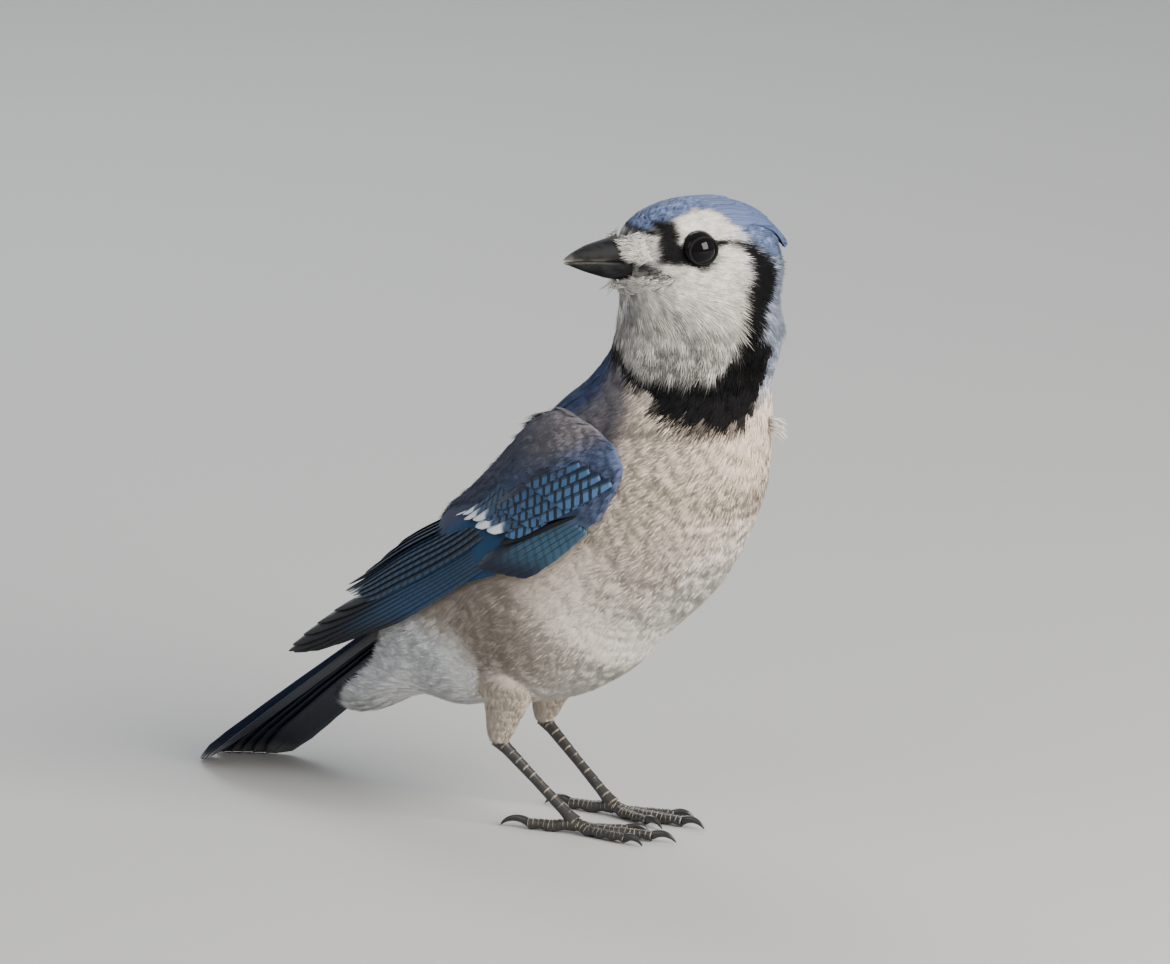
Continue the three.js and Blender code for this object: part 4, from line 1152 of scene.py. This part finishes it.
tailPlates = []
tailShape = [(0, 0.45), (0.35, 0.78), (0.7, 1), (0.9, 0.93), (0.97, 0.7), (1, 0.3)]
for i in range(5, -1, -1):
    for side in (1, -1):
        plate = featherPlate(
            onTail, (0, side * (1.2 + 0.5 * i)), (tailPlan["length"] - 0.35 * i * i, side * (2.6 + 1.75 * i)), 11,
            (1 - 0.2 * i, 1 - 0.8 * i + (0.35 if side > 0 else 0)), 0, tailShape, rows=30, seed=100 + i * 2 + side)
        white = 0.2 + 0.8 * (i > 1)
        tipTone = hues["white"] * white + hues["tailBlue"] * (1 - white)
        paint = painter(hues["tailBlue"], hues["tailBlue"] * 0.8, tipColour=tipTone if i > 0 else None, tipFrom=0.93)
        tailPlates.append((*plate, dict(paint=paint, bars=barring(0.8, 0.15, 0.92))))
tail = featherBatch("feathers_tail", tailPlates, featherMat)
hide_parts("tail")
print("stage: tail")

# Crest: rows of pointed feathers laid back over the crown
crestRows = [dict(zip(("start", "length", "count", "spread", "lift"), row)) for row in (
    (40, 9, 11, 10, -0.6), (50, 10, 12, 9, -0.45), (60, 12, 13, 8.5, -0.3), (70, 13, 13, 8, -0.1),
    (80, 15, 13, 8, 0.1), (91, 18, 13, 7.5, 0.4), (104, 20, 13, 7, 0.8), (116, 21, 13, 7, 1.2))]
crestTip = np.array([-25.5, 0, 0.0])
crestCentre = np.array([-2.0, 0, 0])


def makeCrest():
    plates = []
    for r, row in enumerate(crestRows):
        for i in range(row["count"]):
            off = i - (row["count"] - 1) / 2
            roll = math.radians(off * row["spread"])
            rows = 12
            v = np.linspace(0, 1, rows)
            swing = np.radians(row["start"] + row["length"] * v / 0.3)
            d = np.stack([np.cos(swing), np.sin(swing) * math.sin(roll), np.sin(swing) * math.cos(roll)], -1)
            lift = -1.9 + (row["lift"] + 0.15 * ((i + r) % 3) + 1.75) * v**0.6
            far = reach(np.tile(fromHead(crestCentre), (rows, 1)), d @ headAxes.T, bodyForms)
            line = crestCentre + d * (far + lift)[:, None]
            if r >= len(crestRows) - 2:
                pull = 1 - abs(off) / row["count"]
                ease = smooth(0.55, 1.0, v)[:, None]
                line = line * (1 - 0.85 * pull * ease) + crestTip * 0.85 * pull * ease
            middle = line[rows // 2]
            if middle[2] < curveAt(marks["crownEdge"], middle[0]) + 0.9:
                continue
            tangent = unit(np.gradient(line, axis=0))
            side_ = unit(np.cross(tangent, line - crestCentre))
            up = np.cross(side_, tangent)
            width = np.interp(v, [0, 0.4, 0.75, 1], [2.2, 3.0, 2.3, 0.3])
            u = np.linspace(-1, 1, featherAcross)
            mid = line[:, None] + side_[:, None] * (u[None, :, None] * width[:, None, None] / 2)
            mid = mid + up[:, None] * (0.35 * (1 - u[None, :, None] ** 2))
            thick = 0.16 * (1 - 0.7 * np.abs(u))[None, :, None]
            top, low = fromHead(mid + up[:, None] * thick), fromHead(mid - up[:, None] * thick)
            rear = r / (len(crestRows) - 1)
            tone = (tones["crown"] * (1 - rear) + tones["crest"] * rear) * (0.85 + 0.3 * rng.random())
            paint = painter(tone, tone * 0.85, edgeLine=tone * 0.45)
            plates.append((top, low, u, v, row["length"], dict(paint=paint, bars=lambda u, v: np.zeros(len(u)))))
    obj = featherBatch("feathers_crest", plates, featherMat)
    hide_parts("crest")


makeCrest()
print("stage: crest")

# Bill: both halves lofted along the head's forward axis and parted by the mouth's line
billPlan = {
    "low": 12.0, "tip": 41.3,
    "top": [(12, 3.4), (22, 3.6), (28, 2.95), (34, 1.35), (38, -0.6), (40.2, -2.1), (41.3, -3.3)],
    "mouth": [(12, -4.6), (19, -3.1), (26, -2.5), (35, -2.6), (41.3, -3.1)],
    "bottom": [(12, -8.6), (22, -8.4), (28, -7.6), (34, -5.8), (39, -3.9), (41.3, -3.2)],
    "halfWidth": [(12, 7.4), (20, 6.0), (28, 4.1), (34, 2.7), (39, 1.2), (41.3, 0.25)],
}


def softCurve(knots, x):
    xs, ys = np.array(knots).T
    fine = np.linspace(xs[0] - 3, xs[-1] + 3, 300)
    return np.interp(x, fine, softened(np.interp(fine, xs, ys), 25))


hornMat, t, shader = material("billHorn", {"Specular IOR Level": 0.16})
coords = t.node("ShaderNodeTexCoord").outputs["Object"]
stretch = t.node("ShaderNodeMapping", {"Vector": coords, "Scale": (1, 1, 3)}).outputs[0]
noise = t.node("ShaderNodeTexNoise", {"Vector": stretch, "Scale": 320.0, "Detail": 5.0, "Roughness": 0.6}).outputs[0]
t.link(t.shaded(t.attribute("tint", "Color"), t.span(noise, 0.35, 0.65, (0.5, 1.7))), shader["Base Color"])
t.link(t.span(noise, 0.3, 0.7, (0.5, 0.7)), shader["Roughness"])
t.link(t.bump(noise, 0.25), shader["Normal"])


def makeBill(name, node, upper):
    rows, half = 60, 24
    end = billPlan["tip"] - (0 if upper else 1.2)
    x = billPlan["low"] + (end - billPlan["low"]) * np.linspace(0, 1, rows) ** 0.85
    mouth = softCurve(billPlan["mouth"], x) + (0.12 if upper else -0.12)
    edge = softCurve(billPlan["top"] if upper else billPlan["bottom"], x)
    edge = np.maximum(edge, mouth + 0.05) if upper else np.minimum(edge, mouth - 0.05)
    wide = np.maximum(softCurve(billPlan["halfWidth"], x), 0.12) * (1 if upper else 0.9)
    wide = wide * (smooth(end, end - 2.5, x) * 0.85 + 0.15)
    angles = np.linspace(0, math.pi, half)
    ringsBill = []
    for i in range(rows):
        arch = np.stack([np.full(half, x[i]), -np.cos(angles) * wide[i],
                         mouth[i] + (edge[i] - mouth[i]) * np.sin(angles) ** 0.85], -1)
        inner = np.stack([np.full(half, x[i]), np.cos(angles) * wide[i] * 0.9, np.full(half, mouth[i])], -1)[1:-1]
        ringsBill.append(np.concatenate([arch, inner]))
    local, faces = tubeMesh(ringsBill)
    obj = meshObject(name, fromHead(local), faces, hornMat)
    paleTip = smooth(37.5, 41, local[:, 0])
    tomium = smooth(0.9, 0.1, np.abs(local[:, 2] - softCurve(billPlan["mouth"], local[:, 0])))
    tomium *= smooth(26, 34, local[:, 0])
    colour = over(np.broadcast_to(shade(22, 22, 24), local.shape).copy(), shade(150, 148, 140),
                  np.clip(paleTip * 0.5 + tomium * 0.22, 0, 1))
    colour = over(colour, shade(20, 21, 25), smooth(24, 18, local[:, 0]) * 0.7)
    setColour(obj.data, "tint", colour)
    about = 0.5 + np.arctan2(local[:, 1], local[:, 2] + 3) / 6.6
    setUv(obj.data, "OFBake", np.stack([(local[:, 0] - 10) / 34, about], -1))
    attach(obj, body)
    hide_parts(node)


makeBill("horn_upper", "bill_upper", True)
makeBill("horn_lower", "bill_lower", False)

# Hairs that follow given curves, as closed three-sided spikes
def hairBundle(name, curves, width, tints, mat):
    curves = np.asarray(curves, float)
    m, n = curves.shape[:2]
    tan = unit(np.gradient(curves, axis=1))
    across = unit(np.cross(tan, [0.13, 0.21, 0.97]))[:, :-1, None]
    up = np.cross(across, tan[:, :-1, None])
    w = (width * (1 - 0.9 * np.linspace(0, 1, n) ** 1.5) / 2)[None, :-1, None, None]
    angles = 2 * np.pi * np.arange(3) / 3
    ring = curves[:, :-1, None] + w * (np.cos(angles)[:, None] * across + np.sin(angles)[:, None] * up)
    points = np.concatenate([ring.reshape(m, -1, 3), curves[:, -1:]], 1)
    each = points.shape[1]
    one = outward(points[0], spikeFaces(n - 1))
    faces = [tuple(v + i * each for v in f) for i in range(m) for f in one]
    obj = meshObject(name, points.reshape(-1, 3), faces, mat)
    along = np.r_[np.repeat(np.linspace(0, 1, n)[:-1], 3), 1.0]
    setColour(obj.data, "tint", np.repeat(tints, each, 0))
    setUv(obj.data, "tuftUv", np.tile(np.c_[np.full(each, 0.5), along], (m, 1)))
    cells = math.ceil(math.sqrt(m))
    corner = np.stack([np.arange(m) % cells, np.arange(m) // cells], -1) / cells
    within = np.c_[np.r_[np.tile([0, 0.4, 0.8], n - 1), 0.4], along * 0.9] / cells
    setUv(obj.data, "OFBake", np.repeat(corner, each, 0) + np.tile(within, (m, 1)))
    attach(obj, body)
    return obj


def billWideAt(x):
    return np.maximum(softCurve(billPlan["halfWidth"], x), 0.2)


# Pushes head-frame points out of the head and of the bill
def keepOut(points, gap):
    p = points.copy()
    for _ in range(2):
        world_ = fromHead(p)
        deep = np.maximum(0, gap - meltedField(world_, bodyForms))
        p = toHead(world_ + slopeOf(world_, bodyForms) * deep[..., None])
    x, y, z = p[..., 0], p[..., 1], p[..., 2]
    mouth = softCurve(billPlan["mouth"], x)
    edge = np.where(z > mouth, softCurve(billPlan["top"], x), softCurve(billPlan["bottom"], x))
    rise = np.clip((z - mouth) / (edge - mouth), 0, 1.5)
    wide = billWideAt(x)
    near = np.sqrt((y / wide) ** 2 + rise**2) + 1e-6
    push = np.where((near < 1 + gap / 4) & (x > 10) & (x < 41), (1 + gap / 4) / near, 1)
    p[..., 1] = y * push
    p[..., 2] = mouth + (z - mouth) * push
    return p


def bristleCurves(starts, ends, rise, count, jitter, seed, steps=6):
    r = np.random.default_rng(seed)
    made = []
    for a, b in zip(starts, ends):
        for _ in range(count):
            p0 = a + jitter * r.normal(size=3) * 0.5
            p2 = b + jitter * r.normal(size=3)
            p1 = (p0 + p2) / 2 + rise * (0.7 + 0.6 * r.random())
            s = np.linspace(0, 1, steps)[:, None]
            made.append((1 - s) ** 2 * p0 + 2 * s * (1 - s) * p1 + s**2 * p2)
    return np.array(made)


# The pale bristly feathers over the nostrils, and the short ones on the chin
def makeBillFeathers():
    curves, tints_ = [], []
    r = np.random.default_rng(3)
    for sign in (1, -1):
        for layer in range(5):
            a = np.linspace(0, 1, 17)
            x0 = 19.2 + 1.1 * layer - 0.6 * a
            z0 = 3.4 - 4.4 * a
            y0 = 4.6 + 4.4 * a**0.7 - 0.4 * layer
            x2 = x0 + 5.0 - 1.3 * a - 0.2 * layer - 1.9 * r.random(17)
            z2 = 3.0 - 5.4 * a
            starts = np.stack([x0, sign * y0, z0], -1)
            ends = np.stack([x2, sign * (billWideAt(x2) * (0.35 + 0.75 * a)), z2], -1)
            made = bristleCurves(starts, ends, np.array([0.3, sign * 1.0, 0.25]), 7, 0.55, 5 + layer + 10 * (sign > 0))
            curves.append(made)
            isDark = (r.random(len(made)) < 0.16)[:, None]
            pale = tones["white"] * (0.75 + 0.25 * r.random((len(made), 1)))
            tints_.append(np.where(isDark, tones["grey"] * 0.5, pale))
        for layer in range(5):
            a = np.linspace(0, 1, 15)
            x0 = 11.5 + 1.8 * layer + 1.5 * a
            z0 = -6.0 - 4.2 * a + 0.12 * layer
            y0 = 8.5 - 7.8 * a - 0.5 * layer * (1 - a)
            x2 = x0 + 4.5 + 2.5 * a
            z2 = -6.6 - 3.0 * a
            starts = np.stack([x0, sign * y0, z0], -1)
            ends = np.stack([x2, sign * np.maximum(billWideAt(x2) * (1.02 - 0.95 * a), 0.2), z2], -1)
            made = bristleCurves(starts, ends, np.array([0.2, sign * 0.5, -0.8]), 6, 0.5, 45 + layer + 10 * (sign > 0))
            curves.append(made)
            isDark = (r.random(len(made)) < 0.3)[:, None]
            pale = tones["cheek"] * (0.8 + 0.2 * r.random((len(made), 1)))
            tints_.append(np.where(isDark, tones["grey"] * 0.8, pale))
    curves = keepOut(np.concatenate(curves), 0.45)
    hairBundle("nasalTufts", fromHead(curves), 0.25, np.concatenate(tints_), bristleMat)
    # The dark bristles at the corners of the mouth
    fine = []
    for sign in (1, -1):
        for i in range(9):
            start = np.array([17.0 - 0.5 * i, sign * (8.6 + 0.35 * i), -2.4 - 0.45 * i])
            end = start + np.array([8.5 - 0.4 * i, -sign * 2.2, -1.6 - 0.5 * i])
            fine.append(bristleCurves([start], [end], np.array([0, sign * 1.2, 0.2]), 2, 0.5, 90 + i + 20 * (sign > 0)))
        for i in range(6):
            start = np.array([21.0 + i, sign * 1.6, -8.9])
            end = start + np.array([3.0, sign * 0.8, -2.6])
            fine.append(bristleCurves([start], [end], np.array([0.4, 0, -0.2]), 1, 0.6, 140 + i + 20 * (sign > 0)))
    fine = keepOut(np.concatenate(fine), 0.3)
    blacks = np.tile(tones["black"], (len(fine), 1))
    hairBundle("mouthBristles", fromHead(fine), 0.13, blacks, bristleMat)


makeBillFeathers()

# The small loose tuft at the front of the neck
looseAt = np.array([40.6, 5.6, 113.4])
looseStarts = [looseAt + np.array([0, 0, 0.7 * k]) for k in range(6)]
looseEnds = [looseAt + rightOf * 4.2 + np.array([0, 0, -3.2 + 0.9 * k]) for k in range(6)]
loose = bristleCurves(looseStarts, looseEnds, rightOf * 0.8 + np.array([0, 0, 1.0]), 9, 0.6, 77)
hairBundle("looseTuft", loose, 0.3, np.tile(tones["white"], (len(loose), 1)), bristleMat)
print("stage: bristles")

# Eyes: a dark brown iris round a black pupil under a wet cornea, with a ring of small beads for the lid
eyeMat, t, shader = material("wetEye", {"Roughness": 0.05, "Specular IOR Level": 0.28, "IOR": 1.38})
ringAt = t.attribute("fromPupil")
iris = t.mix(t.noise(900.0, 3.0), (0.002, 0.0014, 0.0012), (0.004, 0.0025, 0.002))
withPupil = t.mix(t.span(ringAt, 0.52, 0.58), (0.002, 0.002, 0.003), iris)
t.link(t.mix(t.span(ringAt, 0.86, 0.98), withPupil, (0.003, 0.002, 0.002)), shader["Base Color"])

lidMat, t, shader = material("lidSkin", {"Roughness": 0.8, "Specular IOR Level": 0.15})
noise = t.noise(1500.0, 4.0)
t.link(t.mix(noise, (0.003, 0.003, 0.0035), (0.010, 0.010, 0.011)), shader["Base Color"])
t.link(t.bump(noise, 0.5), shader["Normal"])

centre = fromHead([eyePlace["forward"], 0, eyePlace["up"]])
sideways = headAxes @ np.array([0, 1.0, 0])
skinOut = float(reach(centre[None], sideways[None], bodyForms)[0])
eyeDepth = skinOut - eyePlace["radius"] + eyePlace["standsOut"]
lidPlan = {"radius": 3.72, "thick": 0.36, "beads": 14, "around": 96, "across": 12}
for side, sign in (("left", 1), ("right", -1)):
    seat = np.array([eyePlace["forward"], sign * eyeDepth, eyePlace["up"]])
    rows, cols = 34, 48
    polar = np.linspace(0.01, math.pi - 0.01, rows)
    turn = 2 * math.pi * np.arange(cols) / cols
    radius = eyePlace["radius"] - 0.05
    cap = 1 + 0.015 * np.exp(-((polar / 0.55) ** 2))
    ringsEye = np.stack([
        np.sin(polar)[:, None] * np.cos(turn)[None], np.repeat((np.cos(polar) * cap)[:, None], cols, 1) * sign,
        np.sin(polar)[:, None] * np.sin(turn)[None]], -1) * radius
    local, faces = tubeMesh(ringsEye)
    obj = meshObject(f"eyeball_{side}", fromHead(local + seat), faces, eyeMat)
    setFloat(obj.data, "fromPupil", np.hypot(local[:, 0], local[:, 2]) / radius + (local[:, 1] * sign < 0) * 2)
    setUv(obj.data, "OFBake", local[:, [0, 2]] / (2.2 * radius) + 0.5)
    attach(obj, body)
    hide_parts(f"eye_{side}")
    # The lid
    around, across = lidPlan["around"], lidPlan["across"]
    turn = 2 * math.pi * np.arange(around) / around
    wide = lidPlan["radius"] + 0.06 * np.cos(2 * turn)
    tube = 2 * math.pi * np.arange(across) / across
    bead = 1 + 0.18 * np.abs(np.sin(turn * lidPlan["beads"]))
    ringsLid = []
    for a, w, b in zip(turn, wide, bead):
        out = np.array([math.cos(a) * 1.06, 0, math.sin(a) * 0.98])
        c = out * w + np.array([0, math.sqrt(max(eyePlace["radius"] ** 2 - w * w, 0.04)) - 0.05, 0])
        bent = np.outer(np.cos(tube), out) + np.outer(np.sin(tube), [0, 1.0, 0])
        ringsLid.append(c + lidPlan["thick"] * b * bent)
    last = (around - 1) * across
    faces = gridFaces(around, across, closed=True)
    faces += [(last + k, last + (k + 1) % across, (k + 1) % across, k) for k in range(across)]
    local = np.array(ringsLid).reshape(-1, 3) * np.array([1, sign, 1])
    obj = meshObject(f"lid_{side}", fromHead(local + seat), outward(local, faces), lidMat)
    setUv(obj.data, "OFBake", local[:, [0, 2]] / 12 + 0.5)
    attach(obj, body)
print("stage: eyes")

# Legs, toes and claws with overlapping scutes
scuteMat, t, shader = material("legScutes", {"Roughness": 0.42})
noise = t.noise(700.0, 4.0)
dark = t.mix(noise, (0.012, 0.011, 0.011), (0.04, 0.037, 0.034))
pale = t.mix(noise, (0.16, 0.135, 0.095), (0.30, 0.26, 0.19))
edgeMask = t.math("MULTIPLY", t.span(t.attribute("scuteEdge"), 0.45, 0.95), t.span(t.noise(260.0, 2.0), 0.36, 0.56))
t.link(t.mix(edgeMask, dark, pale), shader["Base Color"])
t.link(t.bump(noise, 0.35), shader["Normal"])

clawMat, t, shader = material("clawHorn", {"Roughness": 0.28})
t.link(t.mix(t.noise(500.0, 3.0), (0.010, 0.010, 0.011), (0.035, 0.033, 0.032)), shader["Base Color"])


def scuted(points, radii, pitch, sides=20, flat=1.0, depth=0.10, clampFloor=False):
    points, radii = np.asarray(points, float), np.asarray(radii, float)
    d = np.r_[0, np.cumsum(np.linalg.norm(np.diff(points, axis=0), axis=1))]
    count = max(2, int(round(d[-1] / pitch)))
    steps = np.array([0, 0.04, 0.2, 0.45, 0.7, 0.9, 0.985])
    frac = np.tile(steps, count)
    far = ((np.arange(count)[:, None] + steps) / count).ravel() * d[-1]
    path = np.stack([np.interp(far, d, points[:, k]) for k in range(3)], -1)
    angles = 2 * np.pi * (np.arange(sides) + 0.5) / sides
    front = smooth(-0.6, 0.2, np.sin(angles))
    swell = 1 - depth * 0.6 + depth * (frac[:, None] ** 1.5) * front + depth * 0.3 * np.sin(angles * 6) * (1 - front)
    made = ringsRound(path, np.interp(far, d, radii)[:, None] * swell, sides, flat, phase=0.5)
    edge = np.clip(smooth(0.62, 0.95, frac)[:, None] * (0.35 + 0.65 * front), 0, 1)
    pts, faces = tubeMesh(made)
    if clampFloor:
        pts[:, 2] = np.maximum(pts[:, 2], 0.05)
    return pts, faces, np.r_[edge.ravel(), 0, 0]


def joinParts(name, parts, mat, nodes, edges=True):
    faces, start = [], 0
    for p, own, _ in parts:
        faces += [tuple(i + start for i in face) for face in own]
        start += len(p)
    points = np.concatenate([p for p, _, _ in parts])
    obj = meshObject(name, points, faces, mat)
    if edges:
        setFloat(obj.data, "scuteEdge", np.concatenate([e for _, _, e in parts]))
    low, high = points.min(0), points.max(0)
    setUv(obj.data, "OFBake", ((points - low) / (high - low + 1e-6))[:, [0, 1]] * 0.98 + 0.01)
    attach(obj, body)
    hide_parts(*nodes)


toes = [
    dict(name="hind", turn=180, length=13, radius=1.75, joints=2, claw=9.5),
    dict(name="inner", turn=17, length=14, radius=1.5, joints=3, claw=7),
    dict(name="middle", turn=0, length=22, radius=1.7, joints=4, claw=7.8),
    dict(name="outer", turn=-17, length=17, radius=1.45, joints=4, claw=6.6),
]
toeHeight, clawSteps = 1.45, 12
for side, sign in (("left", 1), ("right", -1)):
    heel, foot = np.array(legPlan["heel"][side]), np.array(legPlan["foot"][side])
    shares = np.array([0, 0.12, 0.5, 0.85, 1])
    line = heel + (foot - heel) * shares[:, None]
    shank = scuted(line, [2.4, 1.75, 1.45, 1.6, 2.1], 2.7, flat=0.85)
    joinParts(f"leg_{side}", [shank], scuteMat, [f"tarsus_{side}"])
    turn = turnZ(legPlan["footTurn"][side])
    base = np.array([foot[0], foot[1], 0])
    parts, claws, clawNames = [], [], []
    for toe in toes:
        angle = math.radians(180 if toe["turn"] == 180 else -toe["turn"] * sign)
        ahead = np.array([math.cos(angle), math.sin(angle), 0])
        steps = toe["joints"] * 2
        pts, radii = [np.array([0, 0, 2.6])], [toe["radius"] * 1.15]
        for k in range(1, steps + 1):
            p = ahead * toe["length"] * k / steps
            p[2] = toeHeight + (0 if k % 2 == 0 else 0.35) + max(0, 1 - k / 2) * 0.8
            pts.append(p)
            radii.append(toe["radius"] * (1 if k % 2 == 0 else 0.84) * (1.08 - 0.2 * k / steps))
        pts = np.array(pts) @ turn.T + base
        parts.append(scuted(pts, radii, 1.5, sides=18, depth=0.12, clampFloor=True))
        p = ahead * toe["length"]
        p[2] = toeHeight + 0.2
        path = [p]
        for k in range(clawSteps):
            tilt = math.radians(30 - 88 * (k + 0.5) / clawSteps)
            step = ahead * math.cos(tilt) + np.array([0, 0, math.sin(tilt)])
            path.append(path[-1] + step * toe["claw"] / clawSteps)
        path = np.array(path)
        clear = max(0, 0.3 - path[-1, 2])
        path[:, 2] += clear * np.linspace(0, 1, len(path))
        path = path @ turn.T + base
        rad = np.interp(np.linspace(0, 1, clawSteps + 1), [0, 0.2, 0.6, 0.9, 1], [1.2, 1.1, 0.78, 0.35, 0.06])
        cp, cf = tubeMesh(ringsRound(path, rad[:, None], 14, flat=0.8))
        claws.append((cp, cf, np.zeros(len(cp))))
        clawNames.append(f"claw_{toe['name']}_{side}")
    joinParts(f"toes_{side}", parts, scuteMat, [f"foot_{side}"])
    joinParts(f"claws_{side}", claws, clawMat, clawNames, edges=False)
print("stage: legs")

# The single tufts were only needed for laying the coats
for obj in list(bpy.data.objects):
    if obj.name.startswith(("hairTuft", "faceTuft", "vaneTuft")):
        bpy.data.objects.remove(obj)
